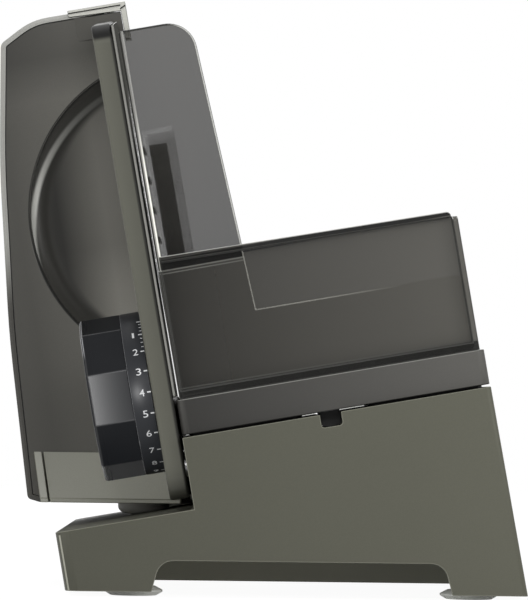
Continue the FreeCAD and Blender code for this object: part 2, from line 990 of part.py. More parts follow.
def web_holes(y, w, orbit, radius, u, width, count):
    holes = []
    for i in range(count):
        angle = 2 * math.pi * i / count
        hole_y = y + orbit * math.cos(angle)
        hole_w = w + orbit * math.sin(angle)
        holes.append(u_rod(radius, u - 1, u + width + 1, hole_y, hole_w))
    return Part.makeCompound(holes)


def blade_disc():
    left_of_hub = -hub_recess - blade_thick
    cone_end = hub_radius + hub_cone
    disc = turned(
        [
            (axle_radius, left_of_hub),
            (hub_radius, left_of_hub),
            (cone_end, -blade_thick),
            (blade_radius - bevel_width, -blade_thick),
            (blade_radius, -blade_edge),
            (blade_radius, 0),
            (cone_end, 0),
            (hub_radius, -hub_recess),
            (axle_radius, -hub_recess),
        ]
    )
    orbit = blade_radius + scallop_radius - scallop_depth
    cuts = []
    for i in range(scallops):
        angle = 2 * math.pi * i / scallops
        cuts.append(rod(scallop_radius, 4, orbit * math.cos(angle), orbit * math.sin(angle), -3))
    return disc.cut(Part.makeCompound(cuts))


def blade_screw():
    head = rod(screw_head_radius, screw_head_thick, z=-hub_recess)
    head = head.makeFillet(0.6, [e for e in head.Edges if e.CenterOfMass.z > -hub_recess + 0.1 and e.Closed])
    head = head.cut(block(-11, 11, -1.4, 1.4, -hub_recess + 0.5, 2))
    return head.fuse(rod(blade_bolt_radius, blade_bolt_length, z=-hub_recess - blade_bolt_length))


def make_blade():
    keep("blade", along_u(blade_disc(), 0, blade_y, 0))
    keep("blade_screw", along_u(blade_screw(), 0, blade_y, 0))
    left_of_hub = -hub_recess - blade_thick
    axle = u_rod(axle_radius, axle_left_u, -hub_recess, blade_y, 0)
    axle = axle.cut(u_rod(blade_bolt_radius, -hub_recess - blade_bolt_length, 1, blade_y, 0))
    keep("blade_axle", axle)
    flange = tube(flange_radius, axle_radius, flange_thick)
    keep("drive_flange", along_u(flange, left_of_hub - flange_thick, blade_y, 0))
    wheel = gear(
        first_module, drive_teeth, idler_angle, first_stage_u, first_stage_width, blade_y, 0, axle_radius, 2
    )
    wheel = wheel.cut(web_holes(blade_y, 0, 15.5, 4.5, first_stage_u, first_stage_width, 6))
    keep("drive_gear", wheel)


def make_idler():
    end_left = rear_gear_plate_u - bush_length + 1
    end_right = front_gear_plate_u - gear_plate_thick + bush_length - 3.5
    keep("idler_shaft", u_rod(idler_shaft_radius, end_left, end_right, idler_y, idler_w))
    mesh = meshing_angle(idler_angle, small_teeth)
    pinion = gear(
        first_module, small_teeth, mesh, first_stage_u, first_stage_width,
        idler_y, idler_w, idler_shaft_radius, 3,
    )
    keep("idler_pinion", pinion)
    wheel = gear(
        second_module, large_teeth, motor_angle, second_stage_u, second_stage_width,
        idler_y, idler_w, idler_shaft_radius, 2,
    )
    wheel = wheel.cut(web_holes(idler_y, idler_w, 14.5, 4.0, second_stage_u, second_stage_width, 6))
    keep("idler_gear", wheel)


def armature():
    core = rod(armature_radius, armature_length)
    for i in range(armature_slots):
        inner = armature_radius - slot_depth
        slot = block(inner, armature_radius + 2, -slot_width / 2, slot_width / 2, -1, armature_length + 1)
        slot.rotate(V(0, 0, 0), V(0, 0, 1), 360.0 * i / armature_slots)
        core = core.cut(slot)
    return core.cut(rod(motor_shaft_radius, armature_length + 2, z=-1))


def make_motor():
    can_right = rear_gear_plate_u - rear_gear_plate_thick
    can_length = can_right - motor_left_u
    can = rod(motor_radius, can_length)
    can = can.cut(rod(motor_radius - motor_wall, can_length, z=-motor_wall))
    can = can.cut(rod(motor_shaft_radius + shaft_play, can_length + 2, z=-1))
    keep("motor_can", along_u(can, motor_left_u, motor_y, motor_w))
    cap = rod(motor_radius - motor_wall, cap_thick).fuse(rod(motor_boss_radius, cap_boss_length))
    cap = cap.cut(rod(motor_shaft_radius + shaft_play, cap_boss_length + 1, z=cap_thick - 0.5))
    keep("motor_end_cap", along_u(cap, motor_left_u, motor_y, motor_w))
    ring = tube(motor_radius - motor_wall, magnet_inner, armature_length + 2, 7)
    gap = block(-40, 40, -5, 5, 0, 60)
    keep("motor_magnets", along_u(ring.cut(gap), motor_left_u, motor_y, motor_w))
    keep("armature", along_u(armature(), motor_left_u + 8, motor_y, motor_w))
    pinion_right = second_stage_u + second_stage_width + 1
    keep("motor_shaft", u_rod(motor_shaft_radius, motor_left_u + 2, pinion_right, motor_y, motor_w))
    mesh = meshing_angle(motor_angle, small_teeth)
    pinion = gear(
        second_module, small_teeth, mesh, second_stage_u, second_stage_width + 1,
        motor_y, motor_w, motor_shaft_radius, 3,
    )
    keep("motor_pinion", pinion)


def make_gear_case():
    plate_left = front_gear_plate_u - gear_plate_thick
    rear_left = rear_gear_plate_u - rear_gear_plate_thick
    front = slab_u(front_plate_corners, plate_left, front_gear_plate_u)
    rear = slab_u(rear_plate_corners, rear_left, rear_gear_plate_u)
    bushes = []
    seats = (
        (blade_y, 0, axle_radius, front_gear_plate_u, front_gear_plate_u - bush_length),
        (blade_y, 0, axle_radius, rear_gear_plate_u + 1, rear_left - 2),
        (idler_y, idler_w, idler_shaft_radius, front_gear_plate_u, front_gear_plate_u - bush_length),
        (idler_y, idler_w, idler_shaft_radius, rear_gear_plate_u + 1, rear_gear_plate_u - bush_length),
    )
    for y, w, radius, right, left in seats:
        outer = u_rod(radius + bush_wall, left, right, y, w)
        front = front.cut(outer)
        rear = rear.cut(outer)
        bushes.append(outer.cut(u_rod(radius + shaft_play, left - 1, right + 1, y, w)))
    rear = rear.cut(u_rod(motor_shaft_radius + 2, rear_left - 1, rear_gear_plate_u + 1, motor_y, motor_w))
    pillars = []
    screws = []
    for y, w in pillar_spots:
        pillar = u_rod(pillar_radius, rear_gear_plate_u, plate_left, y, w)
        hole = u_rod(pillar_screw_radius, rear_left - 1, front_gear_plate_u + 1, y, w)
        pillars.append(pillar.cut(hole))
        front = front.cut(hole)
        rear = rear.cut(hole)
        head = u_rod(pillar_head_radius, rear_left - pillar_head_thick, rear_left, y, w)
        shank = u_rod(pillar_screw_radius, rear_left, front_gear_plate_u, y, w)
        screws.append(head.fuse(shank))
    keep("front_gear_plate", front)
    keep("rear_gear_plate", rear)
    keep("bearing_bushes", Part.makeCompound(bushes))
    keep("gear_pillars", Part.makeCompound(pillars))
    keep("pillar_screws", Part.makeCompound(screws))


# Stop plate

def stop_side(margin, bottom, heel, corner):
    """Side outline in Y and w; heel lists the corners below the blade's hollow."""
    reach = blade_radius + blade_clearance + margin
    tip = stop_tip_y - margin
    rise = math.sqrt(reach * reach - (blade_y - tip) ** 2)
    front = stop_front_y + margin
    corners = [
        (front, bottom, corner),
        (front, stop_top_front_w - margin, corner),
        (tip, stop_top_back_w - margin, 2),
        (tip, rise, 0),
        (tip, -rise, 0),
    ]
    return corners + heel


def stop_slab(margin, bottom, heel, corner, left, right):
    body = slab_u(stop_side(margin, bottom, heel, corner), left, right)
    reach = blade_radius + blade_clearance + margin
    return body.cut(u_rod(reach, left - 1, right + 1, blade_y, 0))


def stop_pocket():
    """Hollow in the frame's back, left open round the knob, the rods and the ribs."""
    low = stop_slant_w + stop_rim
    hollow_end = [(stop_tip_y - stop_rim, low, stop_small_corner)]
    pocket = stop_slab(
        stop_rim, low, hollow_end, stop_small_corner, stop_left_u - 1, stop_left_u + stop_hollow_depth
    )
    pocket = pocket.cut(u_rod(1.6 * barrel_radius, stop_left_u - 2, stop_right_u, knob_y, knob_w))
    for w in stop_rib_places:
        pocket = pocket.cut(
            block(stop_left_u - 2, stop_right_u, -far, far, w - stop_rib_half, w + stop_rib_half)
        )
    return pocket


def make_stop_plate():
    heel = [
        (stop_tip_y, stop_slant_w, stop_small_corner),
        (stop_heel_y, stop_slant_w - stop_heel_drop, stop_small_corner),
        (stop_heel_y, stop_bottom_w, stop_small_corner),
    ]
    frame = stop_slab(0, stop_bottom_w, heel, stop_corner_radius, stop_left_u, stop_right_u)
    frame = soften(
        frame,
        1.2,
        lambda e: abs(e.CenterOfMass.y - stop_front_y) < 0.01 and edge_along(e, V(0, 0, 1)),
    )
    frame = frame.cut(stop_pocket())
    seat_end = stop_right_u - guide_rod_seat
    for y in (guide_rod_front_y, guide_rod_back_y):
        frame = frame.cut(u_rod(guide_rod_radius, seat_end, stop_right_u + 1, y, guide_rod_w))
    frame = frame.cut(
        u_rod(cam_rod_radius + 0.5, stop_left_u - 1, stop_right_u + 1, knob_y, knob_w - cam_rod_orbit)
    )
    frame = frame.cut(u_rod(knob_axle_radius, stop_left_u, stop_left_u + knob_axle_seat, knob_y, knob_w))
    keep("stop_plate_frame", frame)
    face_end = [(stop_tip_y - face_margin, face_bottom_w, 2)]
    face = stop_slab(face_margin, face_bottom_w, face_end, face_corner_radius, stop_right_u, stop_face_u)
    keep("stop_plate_face", face)
    rods = []
    for y in (guide_rod_front_y, guide_rod_back_y):
        one = u_rod(guide_rod_radius, seat_end, guide_rod_end_u, y, guide_rod_w)
        rods.append(one.makeChamfer(0.8, [e for e in one.Edges if e.Closed and e.CenterOfMass.x > 0]))
    keep("guide_rods", Part.makeCompound(rods))


# Thickness knob, drawn round Z with its free end at z = 0

def knob_grip():
    half_step = math.pi / knob_sides
    points = []
    for i in range(knob_sides):
        angle = -math.pi / 2 + half_step + 2 * half_step * i
        points.append(V(knob_radius * math.cos(angle), knob_radius * math.sin(angle), 0))
    prism = Part.Face(Part.makePolygon(points + points[:1])).extrude(V(0, 0, grip_length))
    prism = prism.makeChamfer(knob_bevel, [e for e in prism.Edges if abs(e.CenterOfMass.z) < 0.01])
    hollow = rod(knob_inner_radius, grip_length, z=knob_end_wall)
    return prism.cut(hollow).cut(rod(knob_cap_radius, 2 * knob_end_wall, z=-1))


def cam_barrel():
    length = stop_left_u - barrel_gap - knob_left_u - knob_end_wall
    barrel = rod(barrel_radius, length, z=knob_end_wall)
    barrel = barrel.cut(rod(knob_axle_radius + shaft_play, length + 4, z=0))
    barrel = barrel.cut(rod(knob_washer_radius + 0.3, 1.0, z=knob_end_wall))
    run_out = groove_run_out_deg / 360.0 * knob_lead
    half = cam_pin_radius + cam_pin_play
    helix = Part.makeHelix(knob_lead, stop_travel + 2 * run_out, barrel_radius)
    low = barrel_radius - barrel_groove_depth
    high = barrel_radius + 2
    corners = [V(low, 0, -half), V(high, 0, -half), V(high, 0, half), V(low, 0, half)]
    profile = Part.makePolygon(corners + corners[:1])
    groove = Part.Wire(helix.Edges).makePipeShell([profile], True, True)
    groove.rotate(V(0, 0, 0), V(0, 0, 1), -groove_run_out_deg)
    groove.translate(V(0, 0, cam_start - run_out))
    return barrel.cut(groove)


def cam_pin():
    """Rod from the base with a finger that runs in the barrel's groove."""
    finger_u = knob_left_u + cam_start
    orbit_w = knob_w - cam_rod_orbit
    left_end = finger_u - cam_rod_radius
    straight = u_rod(cam_rod_radius, left_end, base_left_u + base_wall, knob_y, orbit_w)
    finger_length = cam_rod_orbit - barrel_radius + barrel_groove_depth - cam_finger_play
    finger = rod(cam_pin_radius, finger_length, finger_u, knob_y, orbit_w)
    nut_left = base_left_u + base_wall
    nut = u_rod(cam_nut_radius, nut_left, nut_left + cam_nut_length, knob_y, orbit_w)
    nut = nut.common(block(-far, far, -far, far, -far, base_top_w - base_wall))
    return straight.fuse(finger).fuse(nut)


def make_knob():
    keep("knob_grip", along_u(knob_grip(), knob_left_u, knob_y, knob_w))
    dial = tube(knob_radius, knob_inner_radius, dial_length, grip_length)
    keep("dial_ring", along_u(dial, knob_left_u, knob_y, knob_w))
    keep("cam_barrel", along_u(cam_barrel(), knob_left_u, knob_y, knob_w))
    cap = rod(knob_cap_radius, knob_cap_thick, z=0.1)
    keep("knob_cap", along_u(cap, knob_left_u, knob_y, knob_w))
    keep("cam_pin", cam_pin())
    axle_left = knob_left_u + knob_end_wall + 0.9
    axle = u_rod(knob_axle_radius, axle_left, stop_left_u + knob_axle_seat, knob_y, knob_w)
    axle = axle.cut(u_rod(knob_bolt_radius, axle_left - 1, axle_left + knob_bolt_length, knob_y, knob_w))
    keep("knob_axle", axle)
    washer = tube(knob_washer_radius, knob_bolt_radius, 1.0, knob_end_wall - 0.1)
    head = rod(knob_screw_radius, 0.8, z=knob_end_wall - 0.9)
    shank = rod(knob_bolt_radius, knob_bolt_length, z=knob_end_wall - 0.1)
    fixing = Part.makeCompound([washer, head.fuse(shank)])
    keep("knob_screw", along_u(fixing, knob_left_u, knob_y, knob_w))


# Carriage

def rounded_box(u0, u1, y0, y1, w0, w1, radius):
    return slab_w([(u0, y0, radius), (u1, y0, radius), (u1, y1, radius), (u0, y1, radius)], w0, w1)


def carriage_tray():
    outer = rounded_box(
        table_left_u,
        table_right_u,
        table_front_y,
        table_back_y,
        table_bottom_w,
        table_top_w,
        table_corner_radius,
    )
    inner = rounded_box(
        table_left_u + table_wall,
        table_right_u - table_wall,
        table_front_y + table_wall,
        table_back_y - table_wall,
        table_bottom_w - 1,
        table_top_w - table_wall,
        1.0,
    )
    for u in table_rib_places:
        inner = inner.cut(block(u, u + table_wall, -far, far, table_bottom_w + table_rib_drop, table_top_w))
    return outer.cut(inner)


def glide_pads():
    """Two strips each side of the groove that carry the carriage on the base."""
    pads = []
    low = base_top_w + 0.1
    for left in (table_left_u + glide_inset_u, table_right_u - glide_inset_u - glide_length):
        for y in (table_front_y + glide_inset_y, table_back_y - glide_inset_y):
            pads.append(
                rounded_box(
                    left,
                    left + glide_length,
                    y - glide_width / 2,
                    y + glide_width / 2,
                    low,
                    low + glide_thick,
                    glide_width / 3,
                )
            )
    return Part.makeCompound(pads)


def runner():
    half = groove_width / 2 - runner_play
    low = base_top_w - groove_depth + runner_play
    top = table_top_w - table_wall
    back = runner_front_y + runner_length
    bar = slab_y(
        [
            (groove_u - half, low, groove_rounding),
            (groove_u + half, low, groove_rounding),
            (groove_u + half, top, 0),
            (groove_u - half, top, 0),
        ],
        runner_front_y,
        back,
    )
    half_stem = groove_slot / 2 - runner_play
    stem = block(groove_u - half_stem, groove_u + half_stem, runner_front_y, back, runner_stem_w, low)
    return bar.fuse(stem)


def carriage_wall():
    """Smoked wall: a thin panel with a rim turned towards the user, a little higher on the left."""
    low = table_top_w + 0.05
    front = wall_y - wall_rim_reach
    back = wall_y + wall_thick
    gap_left = wall_right_u - wall_rim - wall_gap_u

    def under_rim(u):
        return wall_top_w - wall_rim + wall_top_rise * (wall_right_u - u) / (wall_right_u - wall_left_u)

    panel = slab_y(
        [
            (wall_left_u, low, 0),
            (wall_left_u, under_rim(wall_left_u), 0),
            (wall_right_u, under_rim(wall_right_u), 0),
            (wall_right_u, low, 0),
        ],
        wall_y,
        back,
    )
    top = slab_y(
        [
            (wall_left_u, under_rim(wall_left_u), 0),
            (wall_left_u, under_rim(wall_left_u) + wall_rim, 0),
            (gap_left, under_rim(gap_left) + wall_rim, 2.0),
            (gap_left, under_rim(gap_left), 0),
        ],
        front,
        back,
    )
    side = slab_u(
        [
            (front, low, 0),
            (front, under_rim(wall_right_u), 2),
            (back, under_rim(wall_right_u), 0),
            (back, low, 0),
        ],
        wall_right_u - wall_rim,
        wall_right_u,
    )
    foot = block(wall_left_u, wall_right_u, front, back, low, low + wall_foot)
    left = block(wall_left_u - wall_rim / 2, wall_left_u, front, back, low, wall_top_w - 2 * wall_rim)
    return panel.fuse(top).fuse(side).fuse(foot).fuse(left).removeSplitter()


def make_runner():
    bar = runner()
    keeper_low = runner_stem_w - keeper_thick
    back = runner_front_y + runner_length
    half = keeper_width / 2
    strip = block(groove_u - half, groove_u + half, runner_front_y, back, keeper_low, runner_stem_w)
    fixings = []
    for share in (0.1, 0.5, 0.9):
        y = runner_front_y + runner_length * share
        shank = rod(keeper_screw_radius, keeper_thick + keeper_screw_grip, groove_u, y, keeper_low)
        head = rod(fixing_head_radius, keeper_screw_radius, groove_u, y, keeper_low - keeper_screw_radius)
        fixings.append(head.fuse(shank))
        bar = bar.cut(shank)
        strip = strip.cut(shank)
    keep("carriage_runner", bar)
    keep("runner_keeper", strip)
    keep("keeper_screws", Part.makeCompound(fixings))


def make_carriage():
    tray = carriage_tray()
    wall = carriage_wall()
    sheet_front = wall_y + wall_thick
    sheet_top = table_top_w + sheet_thick
    sheet = rounded_box(
        table_left_u + sheet_margin,
        table_right_u - sheet_margin,
        sheet_front,
        table_back_y - sheet_margin,
        table_top_w,
        sheet_top,
        1.5,
    )
    ledge_y = sheet_front + holder_thick + 2 * holder_play
    ledge = block(
        table_left_u + ledge_margin,
        table_right_u - ledge_margin,
        ledge_y,
        ledge_y + ledge_thick,
        sheet_top,
        sheet_top + ledge_height,
    )
    screws = []
    screw_y = wall_y + 0.4
    ceiling = table_top_w - table_wall
    for u in wall_screw_places:
        head = rod(fixing_head_radius, 1.4, u, screw_y, ceiling - 1.4)
        screw = head.fuse(rod(wall_screw_radius, table_wall + 2.5, u, screw_y, ceiling))
        screws.append(screw)
        tray = tray.cut(rod(wall_screw_radius, table_wall + 3.0, u, screw_y, ceiling - 0.5))
        wall = wall.cut(screw)
    keep("carriage_tray", tray)
    keep("carriage_wall", wall)
    keep("tray_sheet", sheet)
    keep("holder_ledge", ledge)
    keep("wall_screws", Part.makeCompound(screws))
    make_runner()
    keep("glide_pads", glide_pads())


# Food holder

def holder_plate():
    front = wall_y + wall_thick + holder_play
    low = table_top_w + sheet_thick + holder_play
    plate = slab_y(
        [
            (holder_left_u, low, 0),
            (holder_left_u, holder_top_w, 1),
            (holder_top_right_u, holder_top_w, holder_corner_radius),
            (holder_knee_u, holder_knee_w, 0),
            (holder_arm_u, holder_knee_w, holder_knee_radius),
            (holder_arm_u, low, 2),
        ],
        front,
        front + holder_thick,
    )
    slope = slab_w(
        [
            (holder_left_u - 1, front - 1, 0),
            (holder_left_u + holder_edge + 1, front - 1, 0),
            (holder_left_u - 1, front + holder_edge + 1, 0),
        ],
        low - 1,
        holder_top_w + 1,
    )
    return plate.cut(slope)


def make_holder():
    plate = holder_plate()
    start = wall_y + wall_thick + holder_play + holder_thick
    end = start + pusher_length
    outer = block(pusher_left_u, pusher_right_u, start, end, pusher_bottom_w, pusher_top_w)
    pocket = block(
        pusher_left_u + pusher_wall,
        pusher_right_u + 1,
        start + pusher_wall,
        end - pusher_wall,
        pusher_bottom_w + pusher_wall,
        pusher_top_w - pusher_wall,
    )
    keep("holder_plate", plate)
    keep("pusher", outer.cut(pocket))
    floor_u = pusher_left_u + pusher_wall
    grip = slab_u(
        [
            (start + pusher_wall, pusher_bottom_w + pusher_wall, 0),
            (start + pusher_wall, grip_bar_top_w, 5),
            (end - finger_room, grip_bar_top_w, 5),
            (end - finger_room, pusher_bottom_w + pusher_wall, 0),
        ],
        floor_u,
        floor_u + grip_bar_thick,
    )
    keep("holder_grip", grip)
    spikes = []
    spike_step = (pusher_top_w - pusher_bottom_w - 2 * spike_margin) / (spike_rows - 1)
    for i in range(spike_rows):
        w = pusher_bottom_w + spike_margin + i * spike_step
        for column in spike_columns:
            tip = V(pusher_left_u, start + column, w)
            spikes.append(Part.makeCone(spike_radius, 0.3, spike_length, tip, V(-1, 0, 0)))
    keep("holder_points", Part.makeCompound(spikes))


# Switch

def make_switch():
    names = ("switch_button", "lock_button")
    half = switch_block_height / 2
    back = switch_y + lock_offset_y + switch_block_side
    block_right = switch_block_x + switch_block_depth
    body = block(
        switch_block_x, block_right, switch_y - switch_block_side, back, switch_z - half, switch_z + half
    )
    along_x = V(1, 0, 0)
    for name, (y, radius) in zip(names, button_places()):
        face_x = switch_side_x + button_recess
        head = rod(radius, button_thick, face_x, y, switch_z, along_x)
        head = head.makeFillet(0.8, [e for e in head.Edges if e.Closed and e.CenterOfMass.x < face_x + 0.1])
        stem_start = face_x + button_thick
        stem = rod(stem_radius, switch_block_x + stem_seat - stem_start, stem_start, y, switch_z, along_x)
        keep(name, head.fuse(stem), False)
        depth = stem_seat + button_travel + 2
        body = body.cut(rod(stem_radius + shaft_play, depth, switch_block_x - 1, y, switch_z, along_x))
    keep("switch_block", body, False)


def export():
    """Put the origin at the middle of the outside box, on the floor, and write each piece."""
    whole = Part.makeCompound(list(pieces.values())).BoundBox
    shift = V(-whole.Center.x, -whole.Center.y, -whole.ZMin)
    for name, shape in pieces.items():
        shape.translate(shift)
        shape.exportStep("parts/" + name + ".step")
    return shift


make_base()
make_housing()
make_blade()
make_idler()
make_motor()
make_gear_case()
make_stop_plate()
make_knob()
make_carriage()
make_holder()
make_switch()
shift = export()
print("pieces", len(pieces), "shift", [round(v, 3) for v in shift])
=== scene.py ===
import json
import math

import bmesh
import bpy
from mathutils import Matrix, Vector


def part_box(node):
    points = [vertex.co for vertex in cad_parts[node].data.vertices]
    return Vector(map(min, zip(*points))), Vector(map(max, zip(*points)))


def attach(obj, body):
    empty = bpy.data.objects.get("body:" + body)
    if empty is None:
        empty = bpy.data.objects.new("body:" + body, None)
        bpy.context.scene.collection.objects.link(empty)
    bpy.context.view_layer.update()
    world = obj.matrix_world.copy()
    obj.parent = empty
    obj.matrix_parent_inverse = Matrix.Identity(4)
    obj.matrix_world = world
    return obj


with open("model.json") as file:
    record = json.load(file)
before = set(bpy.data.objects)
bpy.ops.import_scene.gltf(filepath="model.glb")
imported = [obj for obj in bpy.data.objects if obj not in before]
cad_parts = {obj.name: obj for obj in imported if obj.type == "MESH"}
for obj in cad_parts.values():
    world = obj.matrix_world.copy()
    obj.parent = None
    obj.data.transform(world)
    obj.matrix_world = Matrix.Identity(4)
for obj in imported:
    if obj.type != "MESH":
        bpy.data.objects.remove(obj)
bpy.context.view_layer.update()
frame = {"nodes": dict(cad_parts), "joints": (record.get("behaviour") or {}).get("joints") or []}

bl_info = {
    "name": "Food Slicer Finish",
    "version": (1, 0, 0),
    "blender": (4, 5, 0),
    "location": "3D View > Sidebar > Slicer",
    "description": "Finishes, dial marks, edge lines and studio for a household food slicer",
    "category": "Object",
}

MM = 0.001
JOINTS = {joint["name"]: joint for joint in frame["joints"]}

# The blade's centre on the cutting plane and the leaning directions come from the frame
BLADE_CENTRE = Vector(JOINTS["blade_spin"]["pos_m"])
ACROSS = Vector(JOINTS["blade_spin"]["axis"]).normalized()
DEEP = Vector((0, 1, 0))
UP_LEAN = ACROSS.cross(DEEP).normalized()
KNOB_END = Vector(JOINTS["knob_turn"]["pos_m"])


def machine_point(across, deep, up):
    """A point in metres from millimetres counted from the blade's centre."""
    return BLADE_CENTRE + (ACROSS * across + DEEP * deep + UP_LEAN * up) * MM


def reach(name, direction):
    """A CAD node's lowest and highest place along a direction, in millimetres from the blade's centre."""
    along = [(point.co - BLADE_CENTRE).dot(direction) / MM for point in frame["nodes"][name].data.vertices]
    return min(along), max(along)


# Faces that the finishes are measured from
BASE_LEFT, BASE_RIGHT = reach("base_shell", ACROSS)
BASE_FRONT, BASE_BACK = reach("base_shell", DEEP)
BASE_TOP = reach("base_shell", UP_LEAN)[1]
PANEL_FRONT = reach("housing_shell", DEEP)[0]
RING_RIGHT = reach("dial_ring", ACROSS)[1]
WALL_LOW, WALL_TOP = reach("carriage_wall", UP_LEAN)
WALL_LEFT, WALL_RIGHT = reach("carriage_wall", ACROSS)
TRAY_LEFT, TRAY_RIGHT = reach("carriage_tray", ACROSS)
BAR_LOW, BAR_TOP = reach("stop_plate_frame", UP_LEAN)
CHUTE_LEFT, CHUTE_RIGHT = reach("chute_panel", ACROSS)

# Painted light and shade: each end pairs a place in millimetres with the share of the colour there, so the
# colour stands in for the studio light's fall-off and for shade cast by nearby parts
BASE_SHADE = (BASE_LEFT, 0.78), (BASE_RIGHT, 1.1)
PANEL_SHADE = (-62.0, 1.05), (-25.0, 2.3)
PANEL_TOP_SHADE = (62.0, 1.1), (82.0, 0.55)
DISH_SHADE = (-43.0, 0.42), (-21.0, 2.7)
DISH_LOW_SHADE = (-45.0, 1.8), (-10.0, 1.0)
BAR_SHADE = (-10.0, 1.08), (-2.5, 0.85)
CHUTE_SHADE = (CHUTE_LEFT, 0.92), (CHUTE_RIGHT, 1.75)
WALL_SHADE = (WALL_LEFT, 1.15), (WALL_RIGHT, 3.9)
FENCE_SHADE = (-20.0, 0.85), (75.0, 1.5)
TABLE_SHADE = (TRAY_LEFT, 0.4), (TRAY_RIGHT, 1.5)
TABLE_END_SHADE = (TRAY_LEFT, 3.0), (TRAY_LEFT + 4.0, 1.0)
NO_SHADE = (0.0, 1.0), (1.0, 1.0)


def screen_tone(red, green, blue):
    """A colour picked on a screen, as the linear colour a shader takes."""
    def linear(level):
        share = level / 255.0
        return share / 12.92 if share <= 0.04045 else ((share + 0.055) / 1.055) ** 2.4
    return (linear(red), linear(green), linear(blue))


def colour_setting(name, description, rgb):
    tone = screen_tone(*rgb)
    return bpy.props.FloatVectorProperty(
        name=name, description=description, subtype="COLOR", size=3, min=0.0, max=1.0, default=tone
    )


def length_setting(name, description, millimetres):
    return bpy.props.FloatProperty(
        name=name, description=description, subtype="DISTANCE", unit="LENGTH", default=millimetres * MM
    )


def plain_setting(name, description, value, **limits):
    return bpy.props.FloatProperty(name=name, description=description, default=value, **limits)


class SlicerColours(bpy.types.PropertyGroup):
    """Colours of the slicer's finishes."""

    olive: colour_setting("Olive lacquer", "Metallic lacquer on the base", (92, 92, 81))
    # Painted light: a lighter colour for the base's inside faces, where little light reaches
    casting: colour_setting("Bare casting", "Unpainted metal inside the base", (170, 170, 157))
    housing: colour_setting("Housing lacquer", "Lacquer on the blade housing", (72, 71, 67))
    # Painted highlight colour for the housing's front edge and the dish's crescent
    rim: colour_setting("Bright rim", "Bare turned edge around the housing's front", (166, 166, 161))
    rail: colour_setting("Stop plate lacquer", "Lacquer on the stop plate's frame", (93, 93, 84))
    chute: colour_setting("Chute lacquer", "Lacquer on the slanted chute", (152, 152, 142))
    aluminium: colour_setting("Aluminium", "Anodised plates beside the blade", (150, 150, 144))
    steel: colour_setting("Blade steel", "Ground stainless steel", (200, 200, 198))
    knob: colour_setting("Knob black", "Smooth black plastic of the knob", (17, 18, 20))
    dial: colour_setting("Dial black", "Satin ring that carries the numbers", (30, 31, 33))
    marks: colour_setting("Dial marks", "Printed numbers and strokes", (226, 227, 228))
    smoke: colour_setting("Smoked plastic", "Clear brown grey guard plastic", (50, 49, 46))
    tray: colour_setting("Table plastic", "Dark plastic of the sliding table", (78, 77, 74))
    # The feet's own pale grey, raised further as painted light for the shade under the base
    rubber: colour_setting("Foot rubber", "Pale grey rubber feet", (242, 243, 237))
    # Painted highlight for rounded edges where they face the front
    edge_light: colour_setting("Edge light", "Where the lacquer thins on an edge", (128, 128, 115))
    edge_dark: colour_setting("Edge dark", "Shaded side of a thin edge", (30, 30, 28))
    floor: colour_setting("Floor", "Pale studio floor", (238, 238, 238))


class SlicerSizes(bpy.types.PropertyGroup):
    """Sizes of the printed marks, edge lines and studio."""

    digit_height: length_setting("Digit height", "Height of a dial number", 3.2)
    digit_width: length_setting("Digit width", "Width of one digit of a dial number", 2.3)
    digit_inset: length_setting("Digit inset", "From the ring's right end to a number's middle", 4.15)
    stroke_length: length_setting("Stroke length", "Length of a whole step's stroke", 1.7)
    stroke_width: length_setting("Stroke width", "Width of a stroke", 0.6)
    print_thickness: length_setting("Print thickness", "How far the print stands on the ring", 0.05)
    edge_width: length_setting("Edge width", "Width of the rounded edges", 0.4)
    camera_distance: length_setting("Camera distance", "From the lens to the base's front", 2300.0)
    camera_height: length_setting("Camera height", "Height of the lens over the floor", 90.8)
    camera_roll: bpy.props.FloatProperty(
        name="Camera roll", description="Lean of the picture", subtype="ANGLE", default=math.radians(0.7)
    )
    world_light: plain_setting("World light", "Strength of the even light", 0.36, min=0.0, max=2.0)
    floor_shadow: plain_setting(
        "Floor shadow", "Share of the floor that takes shadow", 0.15, min=0.0, max=1.0
    )


def colours():
    return bpy.context.scene.slicer_colours


def sizes():
    return bpy.context.scene.slicer_sizes


# Node helpers

def add_node(tree, kind, **settings):
    made = tree.nodes.new(kind)
    for name, value in settings.items():
        setattr(made, name, value)
    return made


def feed(tree, source, target):
    """Link a socket, or set a plain value."""
    if isinstance(source, bpy.types.NodeSocket):
        tree.links.new(source, target)
    elif target.type == "RGBA":
        target.default_value = (*source, 1.0)
    else:
        target.default_value = source


def calculate(tree, operation, first, second=0.0):
    made = add_node(tree, "ShaderNodeMath", operation=operation)
    feed(tree, first, made.inputs[0])
    feed(tree, second, made.inputs[1])
    return made.outputs[0]


def rescale(tree, value, low, high, start, end, smooth=False):
    made = add_node(tree, "ShaderNodeMapRange")
    made.interpolation_type = "SMOOTHSTEP" if smooth else "LINEAR"
    for socket, given in zip(made.inputs, (value, low, high, start, end)):
        feed(tree, given, socket)
    return made.outputs[0]


def blend_colours(tree, share, first, second):
    made = add_node(tree, "ShaderNodeMix", data_type="RGBA")
    feed(tree, share, made.inputs["Factor"])
    feed(tree, first, made.inputs[6])
    feed(tree, second, made.inputs[7])
    return made.outputs[2]


def vector_step(tree, operation, first, second):
    made = add_node(tree, "ShaderNodeVectorMath", operation=operation)
    feed(tree, first, made.inputs[0])
    feed(tree, second, made.inputs["Scale"] if operation == "SCALE" else made.inputs[1])
    return made.outputs["Value"] if operation in ("DOT_PRODUCT", "LENGTH") else made.outputs[0]


NUMBER = "NodeSocketFloat"
COLOUR = "NodeSocketColor"
VECTOR = "NodeSocketVector"


def new_group(name, inputs, outputs):
    group = bpy.data.node_groups.new(name, "ShaderNodeTree")
    for label, kind, default in inputs:
        socket = group.interface.new_socket(name=label, in_out="INPUT", socket_type=kind)
        socket.default_value = default
    for label, kind in outputs:
        group.interface.new_socket(name=label, in_out="OUTPUT", socket_type=kind)
    entry = group.nodes.new("NodeGroupInput")
    leave = group.nodes.new("NodeGroupOutput")
    return group, entry.outputs, leave.inputs


